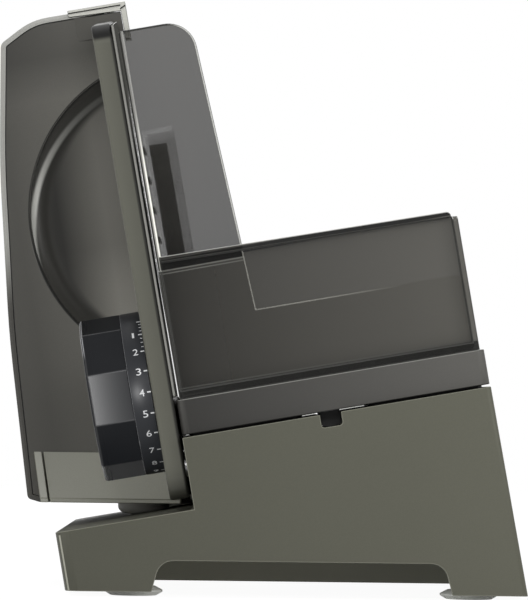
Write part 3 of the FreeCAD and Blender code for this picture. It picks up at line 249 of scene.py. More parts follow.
def use_group(tree, name, **values):
    made = add_node(tree, "ShaderNodeGroup")
    made.node_tree = bpy.data.node_groups[name]
    for label, value in values.items():
        feed(tree, value, made.inputs[label.replace("_", " ")])
    return made.outputs


def build_machine_place():
    """Distances in millimetres across, deep and up the leaning machine."""
    directions = {"Across": ACROSS, "Deep": DEEP, "Up": UP_LEAN}
    group, _, leave = new_group("Machine Place", [], [(label, NUMBER) for label in directions])
    place = add_node(group, "ShaderNodeTexCoord").outputs["Object"]
    shifted = vector_step(group, "SUBTRACT", place, BLADE_CENTRE)
    for label, direction in directions.items():
        group.links.new(vector_step(group, "DOT_PRODUCT", shifted, direction / MM), leave[label])


def build_fade():
    """Painted light and shade: a colour that gets lighter or darker between two places."""
    group, entry, leave = new_group(
        "Fade",
        [
            ("Colour", COLOUR, (0.2, 0.2, 0.2, 1.0)),
            ("Place", NUMBER, 0.0),
            ("Start", NUMBER, 0.0),
            ("Start Share", NUMBER, 1.0),
            ("End", NUMBER, 1.0),
            ("End Share", NUMBER, 1.0),
        ],
        [("Colour", COLOUR)],
    )
    share = rescale(group, *(entry[label] for label in ("Place", "Start", "End", "Start Share", "End Share")))
    group.links.new(vector_step(group, "SCALE", entry["Colour"], share), leave["Colour"])


def build_band():
    """A mask that is 1 between two places, with soft ends."""
    group, entry, leave = new_group(
        "Band",
        [
            ("Place", NUMBER, 0.0),
            ("Low", NUMBER, 0.0),
            ("High", NUMBER, 1.0),
            ("Softness", NUMBER, 0.2),
        ],
        [("Mask", NUMBER)],
    )
    before = calculate(group, "SUBTRACT", entry["Low"], entry["Softness"])
    after = calculate(group, "ADD", entry["High"], entry["Softness"])
    rise = rescale(group, entry["Place"], before, entry["Low"], 0.0, 1.0, smooth=True)
    fall = rescale(group, entry["Place"], entry["High"], after, 1.0, 0.0, smooth=True)
    group.links.new(times(group, rise, fall), leave["Mask"])


# Noise: the detail of flecks, clouds and grinding lines, the clouds' size, and the clouds' usual range
FLECK_DETAIL = 2.0
CLOUD_DETAIL = 3.0
LINE_DETAIL = 4.0
CLOUD_SCALE = 22.0
CLOUD_RANGE = (0.3, 0.7)


def swing_round_one(tree, *swings):
    """A gain near 1 from pairs of a noise and how far it swings."""
    gain = 1.0
    for noise, amount in swings:
        centred = calculate(tree, "SUBTRACT", noise, 0.5)
        gain = calculate(tree, "ADD", gain, times(tree, centred, amount))
    return gain


def build_fine_grain():
    """Small flecks and a gentle unevenness for lacquer and moulded plastic."""
    group, entry, leave = new_group(
        "Fine Grain",
        [
            ("Colour", COLOUR, (0.2, 0.2, 0.2, 1.0)),
            ("Fleck Size", NUMBER, 0.25),
            ("Fleck Amount", NUMBER, 0.25),
            ("Cloud Amount", NUMBER, 0.05),
        ],
        [("Colour", COLOUR), ("Height", NUMBER), ("Unevenness", NUMBER)],
    )
    place = add_node(group, "ShaderNodeTexCoord").outputs["Object"]
    fleck = add_node(group, "ShaderNodeTexNoise")
    fleck.inputs["Detail"].default_value = FLECK_DETAIL
    group.links.new(place, fleck.inputs["Vector"])
    group.links.new(calculate(group, "DIVIDE", 1 / MM, entry["Fleck Size"]), fleck.inputs["Scale"])
    cloud = add_node(group, "ShaderNodeTexNoise")
    cloud.inputs["Scale"].default_value = CLOUD_SCALE
    cloud.inputs["Detail"].default_value = CLOUD_DETAIL
    group.links.new(place, cloud.inputs["Vector"])
    gain = swing_round_one(
        group, (fleck.outputs[0], entry["Fleck Amount"]), (cloud.outputs[0], entry["Cloud Amount"])
    )
    group.links.new(vector_step(group, "SCALE", entry["Colour"], gain), leave["Colour"])
    group.links.new(fleck.outputs[0], leave["Height"])
    group.links.new(cloud.outputs[0], leave["Unevenness"])


def build_brushed_lines():
    """Fine straight grinding lines that run where Stretch is small."""
    group, entry, leave = new_group(
        "Brushed Lines",
        [
            ("Colour", COLOUR, (0.5, 0.5, 0.5, 1.0)),
            ("Stretch", VECTOR, (1.0, 1.0, 1.0)),
            ("Contrast", NUMBER, 0.2),
        ],
        [("Colour", COLOUR), ("Height", NUMBER)],
    )
    place = add_node(group, "ShaderNodeTexCoord").outputs["Object"]
    lines = add_node(group, "ShaderNodeTexNoise")
    lines.inputs["Scale"].default_value = 1.0
    lines.inputs["Detail"].default_value = LINE_DETAIL
    group.links.new(vector_step(group, "MULTIPLY", place, entry["Stretch"]), lines.inputs["Vector"])
    gain = swing_round_one(group, (lines.outputs[0], entry["Contrast"]))
    group.links.new(vector_step(group, "SCALE", entry["Colour"], gain), leave["Colour"])
    group.links.new(lines.outputs[0], leave["Height"])


def build_edge_glint():
    """Painted highlight and shade: turns from one colour to another as a rounded edge turns towards a
    direction of the machine.
    """
    group, entry, leave = new_group(
        "Edge Glint",
        [
            ("Dark", COLOUR, (0.02, 0.02, 0.02, 1.0)),
            ("Light", COLOUR, (0.4, 0.4, 0.4, 1.0)),
            ("Toward", VECTOR, (0.0, -1.0, 0.0)),
            ("From", NUMBER, 0.3),
            ("To", NUMBER, 0.8),
        ],
        [("Colour", COLOUR), ("Mask", NUMBER)],
    )
    facing = add_node(group, "ShaderNodeTexCoord").outputs["Normal"]
    turned = vector_step(group, "DOT_PRODUCT", facing, entry["Toward"])
    share = rescale(group, turned, entry["From"], entry["To"], 0.0, 1.0, smooth=True)
    group.links.new(blend_colours(group, share, entry["Dark"], entry["Light"]), leave["Colour"])
    group.links.new(share, leave["Mask"])


def start_material(name, roughness, metallic=0.0, specular=0.5, cover=1.0):
    made = bpy.data.materials.new(name)
    made.use_nodes = True
    tree = made.node_tree
    shader = tree.nodes["Principled BSDF"]
    shader.inputs["Roughness"].default_value = roughness
    shader.inputs["Metallic"].default_value = metallic
    shader.inputs["Specular IOR Level"].default_value = specular
    shader.inputs["Alpha"].default_value = cover
    return made, tree, shader


def bump(tree, shader, height, strength, distance):
    made = add_node(tree, "ShaderNodeBump")
    made.inputs["Strength"].default_value = strength
    made.inputs["Distance"].default_value = distance
    tree.links.new(height, made.inputs["Height"])
    tree.links.new(made.outputs[0], shader.inputs["Normal"])


def fade(tree, colour, place, shade):
    (start, start_share), (end, end_share) = shade
    return use_group(
        tree, "Fade", Colour=colour, Place=place,
        Start=start, Start_Share=start_share, End=end, End_Share=end_share,
    )["Colour"]


def band(tree, place, low, high, softness=0.2):
    return use_group(tree, "Band", Place=place, Low=low, High=high, Softness=softness)["Mask"]


def glint(tree, dark, light, toward, start, end):
    """A painted highlight colour and its mask, from dark to light as the surface turns towards a direction.
    """
    return use_group(tree, "Edge Glint", Dark=dark, Light=light, Toward=toward, From=start, To=end)


def times(tree, *masks):
    product = masks[0]
    for mask in masks[1:]:
        product = calculate(tree, "MULTIPLY", product, mask)
    return product


BLACK = (0.0, 0.0, 0.0)
WHITE = (1.0, 1.0, 1.0)
BUMP_DISTANCE = 0.1 * MM
LINE_RELIEF = 0.04
LACQUER_ROUGHNESS = 0.42
STEEL_METALLIC = 0.85

# Fleck size, flecks and clouds of a rounded edge, and the same and the relief of smoked plastic
EDGE_GRAIN = (0.4, 0.3, 0.1)
SMOKED_GRAIN = (1.2, 0.04, 0.06, 0.0)


def grained(tree, shader, colour, fleck_size=0.35, fleck=0.25, cloud=0.06, relief=0.06, sway=0.1):
    """Lay the grain over a colour and join both to the shader."""
    grain = use_group(
        tree, "Fine Grain", Colour=colour, Fleck_Size=fleck_size, Fleck_Amount=fleck, Cloud_Amount=cloud
    )
    tree.links.new(grain["Colour"], shader.inputs["Base Color"])
    roughness = shader.inputs["Roughness"].default_value
    smoother, rougher = roughness * (1 - sway), roughness * (1 + sway)
    uneven = rescale(tree, grain["Unevenness"], *CLOUD_RANGE, smoother, rougher)
    tree.links.new(uneven, shader.inputs["Roughness"])
    bump(tree, shader, grain["Height"], relief, BUMP_DISTANCE)


def lay_lines(tree, shader, colour, stretch, contrast):
    """Lay grinding lines over a colour and join both to the shader."""
    lines = use_group(tree, "Brushed Lines", Colour=colour, Stretch=stretch, Contrast=contrast)
    tree.links.new(lines["Colour"], shader.inputs["Base Color"])
    bump(tree, shader, lines["Height"], LINE_RELIEF, BUMP_DISTANCE)


def start_placed(name, roughness, **finish):
    """A new material, and the distances across, deep and up the machine."""
    made, tree, shader = start_material(name, roughness, **finish)
    return made, tree, shader, use_group(tree, "Machine Place")


def start_lacquer(name, roughness=LACQUER_ROUGHNESS):
    return start_placed(name, roughness, metallic=0.1, specular=0.2)


def lacquer(name, colour, shade=NO_SHADE, roughness=LACQUER_ROUGHNESS):
    """Metallic lacquer with painted shading from left to right."""
    made, tree, shader, place = start_lacquer(name, roughness)
    grained(tree, shader, fade(tree, colour, place["Across"], shade))
    return made


def moulded(name, colour, roughness, fleck=0.12, specular=0.4):
    made, tree, shader = start_material(name, roughness, specular=specular)
    grained(tree, shader, colour, 0.5, fleck, 0.08, 0.05)
    return made


def brushed(name, colour, stretch, roughness=0.32, contrast=0.25):
    made, tree, shader = start_material(name, roughness, metallic=STEEL_METALLIC)
    lay_lines(tree, shader, colour, stretch, contrast)
    return made


def edge_finish(name, dark, light, toward=-DEEP, start=0.3, end=0.8):
    """The colour of a rounded edge, lighter on the side that faces toward, as a painted highlight."""
    made, tree, shader = start_material(name, 0.4, specular=0.3)
    grained(tree, shader, glint(tree, dark, light, toward, start, end)["Colour"], *EDGE_GRAIN)
    return made


def paint(material, *nodes):
    """Give CAD nodes a material."""
    for name in nodes:
        mesh = frame["nodes"][name].data
        mesh.materials.clear()
        mesh.materials.append(material)


JOIN_DISTANCE = 0.001 * MM
EDGE_SLOT = 1


def edge_line(material, width, *nodes, least_angle=35.0):
    """Round the sharp edges of CAD nodes a little, as paint and moulding leave them."""
    for name in nodes:
        node = frame["nodes"][name]
        node.data.materials.append(material)
        joined = node.modifiers.new("Joined_Faces", "WELD")
        joined.merge_threshold = JOIN_DISTANCE
        rounded = node.modifiers.new("Edge_Line", "BEVEL")
        rounded.width = width
        rounded.segments = 2
        rounded.limit_method = "ANGLE"
        rounded.angle_limit = math.radians(least_angle)
        rounded.use_clamp_overlap = False
        rounded.loop_slide = False
        rounded.material = EDGE_SLOT


# Base: painted light makes the lacquer lighter from left to right, and a lighter colour is painted on the
# inside faces, one skin in from the outside, where little light reaches
CASTING_SKIN = 1.5
INSIDE_TOP_TABLE = BASE_TOP - CASTING_SKIN
INSIDE_TOP_ARM = -139.5
ARM_END = (-1.9, -1.8)


def base_lacquer():
    palette = colours()
    made, tree, shader, place = start_lacquer("Base Lacquer")
    # Painted light: lighter from left to right
    shaded = fade(tree, palette.olive, place["Across"], BASE_SHADE)
    ceiling = rescale(tree, place["Across"], *ARM_END, INSIDE_TOP_ARM, INSIDE_TOP_TABLE)
    # Painted light: the inside faces, one skin in from the outside, take the lighter colour
    inside = times(
        tree,
        band(tree, place["Deep"], BASE_FRONT + CASTING_SKIN, BASE_BACK - CASTING_SKIN),
        band(tree, place["Across"], BASE_LEFT + CASTING_SKIN, BASE_RIGHT - 2 * CASTING_SKIN),
        calculate(tree, "LESS_THAN", place["Up"], ceiling),
    )
    grained(tree, shader, blend_colours(tree, inside, shaded, palette.casting))
    return made


# Housing front: a painted highlight on the shell's front edge that fades lower down, and a round dish with a
# painted shade lip, painted shade in its cove and floor, and a painted highlight crescent
RIM_DEPTH = 1.6
RIM_BRIGHT_UP = 5.0
RIM_DULL_UP = -35.0
DISH_ACROSS = 17.4
DISH_RADIUS = 74.0
DISH_FLOOR_SOFTNESS = 4.0
COVE_WIDTH = 12.0
COVE_SHARE = 0.6
LIP_INSIDE = 0.2
LIP_OUTSIDE = 0.6
LIP_SOFTNESS = 0.4
CRESCENT_ACROSS = 16.1
CRESCENT_UP = -7.1
CRESCENT_RADIUS = 72.6
CRESCENT_CORE = 0.5
CRESCENT_SOFTNESS = 1.5
CRESCENT_LOWER_END = (-24.0, -8.0)
CRESCENT_UPPER_END = (25.0, 62.0)
CRESCENT_TOP_SHARE = 0.2
BELOW_ANY_RADIUS = -1.0


def housing_lacquer():
    palette = colours()
    made, tree, shader, place = start_lacquer("Housing Lacquer")
    # Painted highlight: the shell's front edge is painted bright at the top, fading out lower down
    rim = times(
        tree,
        calculate(tree, "LESS_THAN", place["Deep"], PANEL_FRONT + RIM_DEPTH),
        rescale(tree, place["Up"], RIM_DULL_UP, RIM_BRIGHT_UP, 0.0, 1.0, smooth=True),
    )
    grained(tree, shader, blend_colours(tree, rim, palette.housing, palette.rim))
    return made


def far_from(tree, place, across, up):
    """How far a point of the housing's front lies from a centre, in millimetres."""
    sideways = calculate(tree, "SUBTRACT", place["Across"], across)
    upwards = calculate(tree, "SUBTRACT", place["Up"], up)
    squared = calculate(tree, "ADD", times(tree, sideways, sideways), times(tree, upwards, upwards))
    return calculate(tree, "SQRT", squared)


def crescent_mask(tree, place):
    """1 on the painted highlight crescent that follows the dish's lower left side."""
    from_centre = far_from(tree, place, CRESCENT_ACROSS, CRESCENT_UP)
    from_arc = calculate(tree, "SUBTRACT", from_centre, CRESCENT_RADIUS)
    return times(
        tree,
        band(tree, from_arc, -CRESCENT_CORE, CRESCENT_CORE, CRESCENT_SOFTNESS),
        rescale(tree, place["Up"], *CRESCENT_LOWER_END, 0.0, 1.0, smooth=True),
        rescale(tree, place["Up"], *CRESCENT_UPPER_END, 1.0, CRESCENT_TOP_SHARE, smooth=True),
        calculate(tree, "LESS_THAN", place["Across"], CRESCENT_ACROSS),
    )


def panel_lacquer():
    palette = colours()
    made, tree, shader, place = start_lacquer("Panel Lacquer")
    # Painted light: the flat front gets lighter towards the stop plate's bar and darker towards its top
    flat = fade(tree, palette.housing, place["Across"], PANEL_SHADE)
    flat = fade(tree, flat, place["Up"], PANEL_TOP_SHADE)
    # Painted shade in the dish: its floor is darker at the left and lighter to the right and low down, its
    # cove is darker, and its lip takes the shaded edge colour
    dish_floor = fade(tree, palette.housing, place["Across"], DISH_SHADE)
    dish_floor = fade(tree, dish_floor, place["Up"], DISH_LOW_SHADE)
    cove = vector_step(tree, "SCALE", palette.housing, COVE_SHARE)
    radius = far_from(tree, place, DISH_ACROSS, 0.0)
    lip_end = DISH_RADIUS + LIP_OUTSIDE
    in_dish = band(tree, radius, BELOW_ANY_RADIUS, lip_end, LIP_SOFTNESS)
    on_floor = band(tree, radius, BELOW_ANY_RADIUS, DISH_RADIUS - COVE_WIDTH, DISH_FLOOR_SOFTNESS)
    on_lip = band(tree, radius, DISH_RADIUS - LIP_INSIDE, lip_end, LIP_SOFTNESS)
    hollow = blend_colours(tree, on_floor, cove, dish_floor)
    # Painted highlight: the crescent takes the bright highlight colour
    hollow = blend_colours(tree, crescent_mask(tree, place), hollow, palette.rim)
    hollow = blend_colours(tree, on_lip, hollow, palette.edge_dark)
    grained(tree, shader, blend_colours(tree, in_dish, flat, hollow))
    return made


# Stop plate bar: painted shade turns its rounded top dark, puts its foot in shade and darkens its right
# margin, and painted light makes it lighter to the left
BAR_FOOT_DEPTH = 18.0
BAR_FOOT_SHARE = 0.5
BAR_CROWN_DEPTH = 16.0
BAR_CROWN_SHARE = 0.3
BAR_END = reach("stop_plate_frame", ACROSS)[1]
BAR_MARGIN = 0.8
BAR_MARGIN_SHARE = 0.15
CROWN_TURN = (0.08, 0.35)
CROWN_LEVEL = (0.9, 0.97)
CROWN_PAINTED_SHADE = screen_tone(22, 22, 21)


def rail_lacquer():
    made, tree, shader, place = start_lacquer("Rail Lacquer")
    colour = fade(tree, colours().rail, place["Across"], BAR_SHADE)
    foot_end = BAR_LOW + BAR_FOOT_DEPTH
    foot = rescale(tree, place["Up"], BAR_LOW, foot_end, BAR_FOOT_SHARE, 1.0, smooth=True)
    crown_start = BAR_TOP - BAR_CROWN_DEPTH
    crown_end = BAR_TOP - BAR_CROWN_DEPTH / 2
    crown = rescale(tree, place["Up"], crown_start, crown_end, 1.0, BAR_CROWN_SHARE, smooth=True)
    margin_start, margin_end = BAR_END - 2 * BAR_MARGIN, BAR_END - BAR_MARGIN
    margin = rescale(tree, place["Across"], margin_start, margin_end, 1.0, BAR_MARGIN_SHARE)
    colour = vector_step(tree, "SCALE", colour, times(tree, foot, crown, margin))
    # Painted shade where the rounded top turns up but is not yet level
    turned = glint(tree, BLACK, WHITE, UP_LEAN, *CROWN_TURN)["Mask"]
    level = glint(tree, BLACK, WHITE, UP_LEAN, *CROWN_LEVEL)["Mask"]
    shade = times(tree, turned, calculate(tree, "SUBTRACT", 1.0, level))
    grained(tree, shader, blend_colours(tree, shade, colour, CROWN_PAINTED_SHADE))
    return made


CHUTE_ROUGHNESS = 0.5


class SLICER_OT_finish_castings(bpy.types.Operator):
    """Lacquer the base, the blade housing, the stop plate's frame and the chute."""

    bl_idname = "slicer.finish_castings"
    bl_label = "Finish Castings"

    def execute(self, context):
        palette = colours()
        width = sizes().edge_width
        paint(base_lacquer(), "base_shell")
        paint(housing_lacquer(), "housing_shell")
        paint(panel_lacquer(), "front_panel")
        # Painted light: the neck stands in shade under the housing, so its lacquer is painted almost white
        paint(lacquer("Neck Painted Light", screen_tone(228, 228, 216)), "housing_neck")
        paint(rail_lacquer(), "stop_plate_frame")
        # Painted light: the chute gets lighter towards its right end, where the knob and the bar shade it
        paint(lacquer("Chute Lacquer", palette.chute, CHUTE_SHADE, CHUTE_ROUGHNESS), "chute_panel")
        strip = lacquer("Strip Lacquer", screen_tone(168, 168, 159), roughness=CHUTE_ROUGHNESS)
        paint(strip, "chute_end_strip")
        # Painted highlight: the rounded edges are lighter where they face the front
        painted_edge_highlight = edge_finish("Lacquer Edge Highlight", palette.olive, palette.edge_light)
        edge_line(painted_edge_highlight, 0.8 * width, "base_shell", "chute_panel", "chute_end_strip")
        seam = edge_finish("Panel Seam", palette.edge_dark, palette.housing, -UP_LEAN, -0.1, 0.2)
        edge_line(seam, width, "front_panel", least_angle=60.0)
        # Painted highlight on the bar's edges that face left, and painted shade on the rest
        bar_dark, bar_light = screen_tone(30, 30, 27), screen_tone(185, 185, 170)
        bar_edge = edge_finish("Bar Edge", bar_dark, bar_light, -ACROSS, -0.2, 0.3)
        edge_line(bar_edge, 0.9 * width, "stop_plate_frame")
        return {"FINISHED"}


# Stop plate sheet: brushed, painted dark as a painted reflection of its dark surroundings, with one bright
# painted highlight stripe along the blade's side that fades upward; its front edge keeps the aluminium colour
FACE_LINE = (-94.0, -74.0)
FACE_LINE_SOFTNESS = 6.0
FACE_LINE_FADE = (10.0, 60.0)
FACE_FRONT = (-161.2, -160.9)
FACE_CONTRAST = 0.25

# Grinding marks along x, y and z: lines follow the smallest number, and equal numbers give a grain
FACE_LINES = (6000.0, 300.0, 300.0)
TRIM_LINES = (300.0, 40.0, 6000.0)
TABLE_LINES = (4000.0, 60.0, 60.0)
SHEET_LINES = (900.0, 60.0, 900.0)
GEAR_LINES = (4000.0, 400.0, 400.0)
BLADE_GRAIN = (3000.0,) * 3
SCREW_GRAIN = (2500.0,) * 3
BUSH_GRAIN = (1500.0,) * 3


def face_aluminium():
    made, tree, shader, place = start_placed("Stop Plate Aluminium", 0.5, specular=0.0)
    highlight_line = times(
        tree,
        band(tree, place["Deep"], *FACE_LINE, FACE_LINE_SOFTNESS),
        rescale(tree, place["Up"], *FACE_LINE_FADE, 1.0, 0.0, smooth=True),
    )
    front = rescale(tree, place["Deep"], *FACE_FRONT, 1.0, 0.0)
    # Painted reflection in the dark colour, and painted highlight in the bright stripe
    colour = blend_colours(tree, highlight_line, screen_tone(92, 92, 88), screen_tone(190, 190, 186))
    colour = blend_colours(tree, front, colour, colours().aluminium)
    lay_lines(tree, shader, colour, FACE_LINES, FACE_CONTRAST)
    tree.links.new(highlight_line, shader.inputs["Coat Weight"])
    return made


class SLICER_OT_finish_plates(bpy.types.Operator):
    """Finish the aluminium plates and the steel table and blade."""

    bl_idname = "slicer.finish_plates"
    bl_label = "Finish Plates"

    def execute(self, context):
        palette = colours()
        width = sizes().edge_width
        paint(face_aluminium(), "stop_plate_face")
        paint(brushed("Housing Aluminium", palette.aluminium, TRIM_LINES), "blade_plate", "top_trim")
        paint(brushed("Blade Steel", palette.steel, BLADE_GRAIN, 0.22), "blade")
        paint(brushed("Table Steel", palette.steel, TABLE_LINES, 0.3), "tray_sheet")
        # Painted highlight: the trim's edges are lighter where they face up
        trim_edge_highlight = screen_tone(190, 190, 184)
        bright = edge_finish("Trim Edge Highlight", palette.edge_dark, trim_edge_highlight, UP_LEAN, -0.3, 0.5)
        edge_line(bright, 0.6 * width, "top_trim")
        # Painted highlight: the sheet's edges are lighter where they face right
        face_dark, face_light = screen_tone(55, 55, 52), screen_tone(150, 150, 146)
        face_edge = edge_finish("Face Edge", face_dark, face_light, ACROSS, 0.2, 0.6)
        edge_line(face_edge, 0.7 * width, "stop_plate_face")
        return {"FINISHED"}


class SLICER_OT_finish_hardware(bpy.types.Operator):
    """Finish screws, shafts, bushes, gears and the motor."""

    bl_idname = "slicer.finish_hardware"
    bl_label = "Finish Hardware"

    def execute(self, context):
        zinc = brushed("Bright Zinc", screen_tone(190, 190, 190), SCREW_GRAIN, 0.25, 0.12)
        paint(
            zinc,
            "blade_screw", "plate_screws", "guide_rods", "knob_axle", "knob_screw", "cam_pin", "idler_shaft",
            "motor_shaft", "blade_axle", "wall_screws", "keeper_screws", "foot_screws", "pillar_screws",
            "gear_pillars", "drive_flange", "holder_points",
        )
        sheet = brushed("Plain Sheet", screen_tone(165, 165, 165), SHEET_LINES, 0.4)
        paint(sheet, "front_gear_plate", "rear_gear_plate", "motor_can")
        nylon = moulded("Gear Nylon", screen_tone(205, 203, 192), 0.45)
        paint(nylon, "cam_barrel", "drive_gear", "idler_gear")
        bronze = brushed("Sintered Bronze", screen_tone(170, 140, 90), BUSH_GRAIN, 0.45)
        paint(bronze, "bearing_bushes", "guide_bushes")
        cut_steel = brushed("Cut Steel", screen_tone(140, 140, 140), GEAR_LINES, 0.35)
        paint(cut_steel, "idler_pinion", "motor_pinion")
        paint(moulded("Dark Ferrite", screen_tone(50, 50, 50), 0.6), "motor_magnets", "armature")
        return {"FINISHED"}


# Smoked wall of the sliding table: painted light makes it lighter to the right, with a dark stripe under its
# top, a painted shade stripe over its foot, and thin light lines under the top stripe and over the foot, in
# millimetres
WALL_TOP_RISE = 1.3
WALL_TOP_START = 0.5
WALL_TOP_STRIPE = 2.9
WALL_TOP_SOFTNESS = 0.3
WALL_STRIPE_LEFT_STEP = 1.8
WALL_STEP_ACROSS = 40.0
WALL_FIRST_LINE = (0.3, 0.7)
WALL_SECOND_LINE = (1.7, 2.0)
WALL_SECOND_SHARE = 0.8
WALL_LINE_SOFTNESS = 0.25
WALL_FOOT_LINE = 4.6
WALL_FOOT_WIDTH = 0.3
WALL_FOOT_SHADE = (-1.0, 4.0)
WALL_FOOT_SOFTNESS = 0.4


def start_smoked(name, cover):
    """Smoked clear plastic; cover is the share of what is behind that one face hides."""
    return start_placed(name, 0.1, specular=0.12, cover=cover)


def smoked_wall():
    made, tree, shader, place = start_smoked("Smoked Wall", 0.88)
    # Painted light: the wall gets lighter towards the right
    colour = fade(tree, colours().smoke, place["Across"], WALL_SHADE)
    top = rescale(tree, place["Across"], WALL_LEFT, WALL_RIGHT, WALL_TOP - WALL_TOP_RISE, WALL_TOP)
    under = calculate(tree, "SUBTRACT", top, place["Up"])
    left_end = calculate(tree, "LESS_THAN", place["Across"], WALL_STEP_ACROSS)
    stripe = calculate(tree, "ADD", WALL_TOP_STRIPE, times(tree, left_end, WALL_STRIPE_LEFT_STEP))
    shade = band(tree, under, WALL_TOP_START, stripe, WALL_TOP_SOFTNESS)
    over_foot = calculate(tree, "SUBTRACT", place["Up"], WALL_LOW)
    foot_shade = band(tree, over_foot, *WALL_FOOT_SHADE, WALL_FOOT_SOFTNESS)
    foot_line = band(tree, over_foot, WALL_FOOT_LINE, WALL_FOOT_LINE + WALL_FOOT_WIDTH, WALL_FOOT_WIDTH)
    colour = blend_colours(tree, shade, colour, screen_tone(22, 22, 20))
    # Painted shade over the foot
    colour = blend_colours(tree, foot_shade, colour, screen_tone(34, 34, 32))
    colour = blend_colours(tree, foot_line, colour, screen_tone(92, 92, 88))
    under_step = calculate(tree, "SUBTRACT", under, stripe)
    first = times(tree, band(tree, under_step, *WALL_FIRST_LINE, WALL_LINE_SOFTNESS), left_end)
    second = times(tree, band(tree, under_step, *WALL_SECOND_LINE, WALL_LINE_SOFTNESS), left_end)
    both = calculate(tree, "MAXIMUM", first, times(tree, second, WALL_SECOND_SHARE))
    colour = blend_colours(tree, both, colour, screen_tone(115, 115, 110))
    grained(tree, shader, colour, *SMOKED_GRAIN)
    return made


def guard_edge():
    """Rounded edge of the smoked wall: a painted highlight where it faces up along its top, and dull at its
    foot.
    """
    made, tree, shader, place = start_placed("Guard Edge", 0.4, specular=0.3)
    turned = glint(tree, screen_tone(60, 60, 57), screen_tone(215, 215, 210), UP_LEAN, 0.2, 0.6)["Colour"]
    foot = calculate(tree, "LESS_THAN", place["Up"], WALL_LOW + 2 * WALL_FOOT_LINE)
    grained(tree, shader, blend_colours(tree, foot, turned, screen_tone(62, 62, 59)), *EDGE_GRAIN)
    return made


def smoked(name, colour, cover, shade=NO_SHADE):
    """Smoked plastic with painted shading from its foot up."""
    made, tree, shader, place = start_smoked(name, cover)
    grained(tree, shader, fade(tree, colour, place["Up"], shade), *SMOKED_GRAIN)
    return made


# Fence edges: left of the split they stand beside the blade, and right of it the wall covers them
FENCE_SPLIT_ACROSS = 20.0
FENCE_LEAN = 0.45
FENCE_TURN = (0.84, 0.95)
FENCE_DARK = screen_tone(45, 45, 42)
FENCE_LIGHT = screen_tone(200, 200, 195)
GLOW_LIGHT = screen_tone(180, 180, 172)
GLOW_TURN = (0.8, 0.9)
GLOW_STRENGTH = 3.0
COVERED_GAIN = 8.0
COVERED_FADE = (75.0, 110.0)
OPEN_GAIN = 0.55
OPEN_FADE = (10.0, 50.0)


def fence_edge():
    """Edge of the tall smoked fence, with painted highlights on its edges and a painted glow where the wall
    covers it and low on its open side.
    """
    made, tree, shader, place = start_placed("Fence Edge", 0.2, specular=0.3, cover=0.95)
    # Painted highlight on the fence's edges, lighter where they face the front and to one side
    outer, inner = (
        glint(tree, FENCE_DARK, FENCE_LIGHT, -DEEP * 2 * FENCE_LEAN + ACROSS * side, *FENCE_TURN)["Colour"]
        for side in (FENCE_LEAN, -FENCE_LEAN)
    )
    beside_blade = calculate(tree, "LESS_THAN", place["Across"], FENCE_SPLIT_ACROSS)
    grained(tree, shader, blend_colours(tree, beside_blade, outer, inner), 0.5, 0.2, 0.1)
    # Painted glow: emission on the edges that face the front stands in for the light they catch
    facing = glint(tree, BLACK, GLOW_LIGHT, -DEEP, *GLOW_TURN)["Colour"]
    covered = band(tree, place["Up"], WALL_LOW + 2 * WALL_FOOT_LINE, WALL_TOP - WALL_TOP_STRIPE)
    under_wall = rescale(tree, place["Across"], *COVERED_FADE, 1.0, 0.0)
    behind_wall = times(tree, covered, COVERED_GAIN, under_wall)
    open_side = rescale(tree, place["Up"], *OPEN_FADE, OPEN_GAIN, 0.0, smooth=True)
    back_side = add_node(tree, "ShaderNodeNewGeometry").outputs["Backfacing"]
    chosen = add_node(tree, "ShaderNodeMix", data_type="FLOAT")
    feed(tree, beside_blade, chosen.inputs["Factor"])
    feed(tree, behind_wall, chosen.inputs["A"])
    feed(tree, open_side, chosen.inputs["B"])
    gain = times(tree, calculate(tree, "SUBTRACT", 1.0, back_side), chosen.outputs["Result"])
    tree.links.new(vector_step(tree, "SCALE", facing, gain), shader.inputs["Emission Color"])
    shader.inputs["Emission Strength"].default_value = GLOW_STRENGTH
    return made


# Knob: smoother at its outer end, and a painted highlight on its outer edge only at the top
KNOB_LEFT, KNOB_RIGHT = reach("knob_grip", ACROSS)
KNOB_SMOOTH = 0.22
KNOB_ROUGH = 0.5
KNOB_GLINT_UP = (-64.0, -59.0)
KNOB_INNER_END = 1.0
KNOB_EDGE_HIGHLIGHT = screen_tone(125, 126, 128)


def knob_black():
    made, tree, shader, place = start_placed("Knob Black", 0.25, specular=0.08)
    grained(tree, shader, colours().knob, 0.5, 0.06, 0.08, 0.05)
    roughness = rescale(tree, place["Across"], KNOB_LEFT, KNOB_RIGHT, KNOB_SMOOTH, KNOB_ROUGH)
    tree.links.new(roughness, shader.inputs["Roughness"])
    return made


def knob_edge():
    made, tree, shader, place = start_placed("Grip Edge", 0.4, specular=0.3)
    dark = colours().knob
    turned = glint(tree, dark, KNOB_EDGE_HIGHLIGHT, -ACROSS, 0.3, 0.6)["Colour"]
    inner_end = calculate(tree, "GREATER_THAN", place["Across"], KNOB_RIGHT - KNOB_INNER_END)
    high = rescale(tree, place["Up"], *KNOB_GLINT_UP, 0.0, 1.0, smooth=True)
    share = calculate(tree, "MAXIMUM", inner_end, high)
    grained(tree, shader, blend_colours(tree, share, dark, turned), 0.4, 0.1, 0.1)
    return made


def table_plastic():
    """Painted light: the plastic is darker at the left and lighter to the right, and its left end, which
    stands in the bar's shade, starts lighter.
    """
    made, tree, shader, place = start_lacquer("Table Plastic", 0.45)
    colour = fade(tree, colours().tray, place["Across"], TABLE_SHADE)
    grained(tree, shader, fade(tree, colour, place["Across"], TABLE_END_SHADE))
    return made


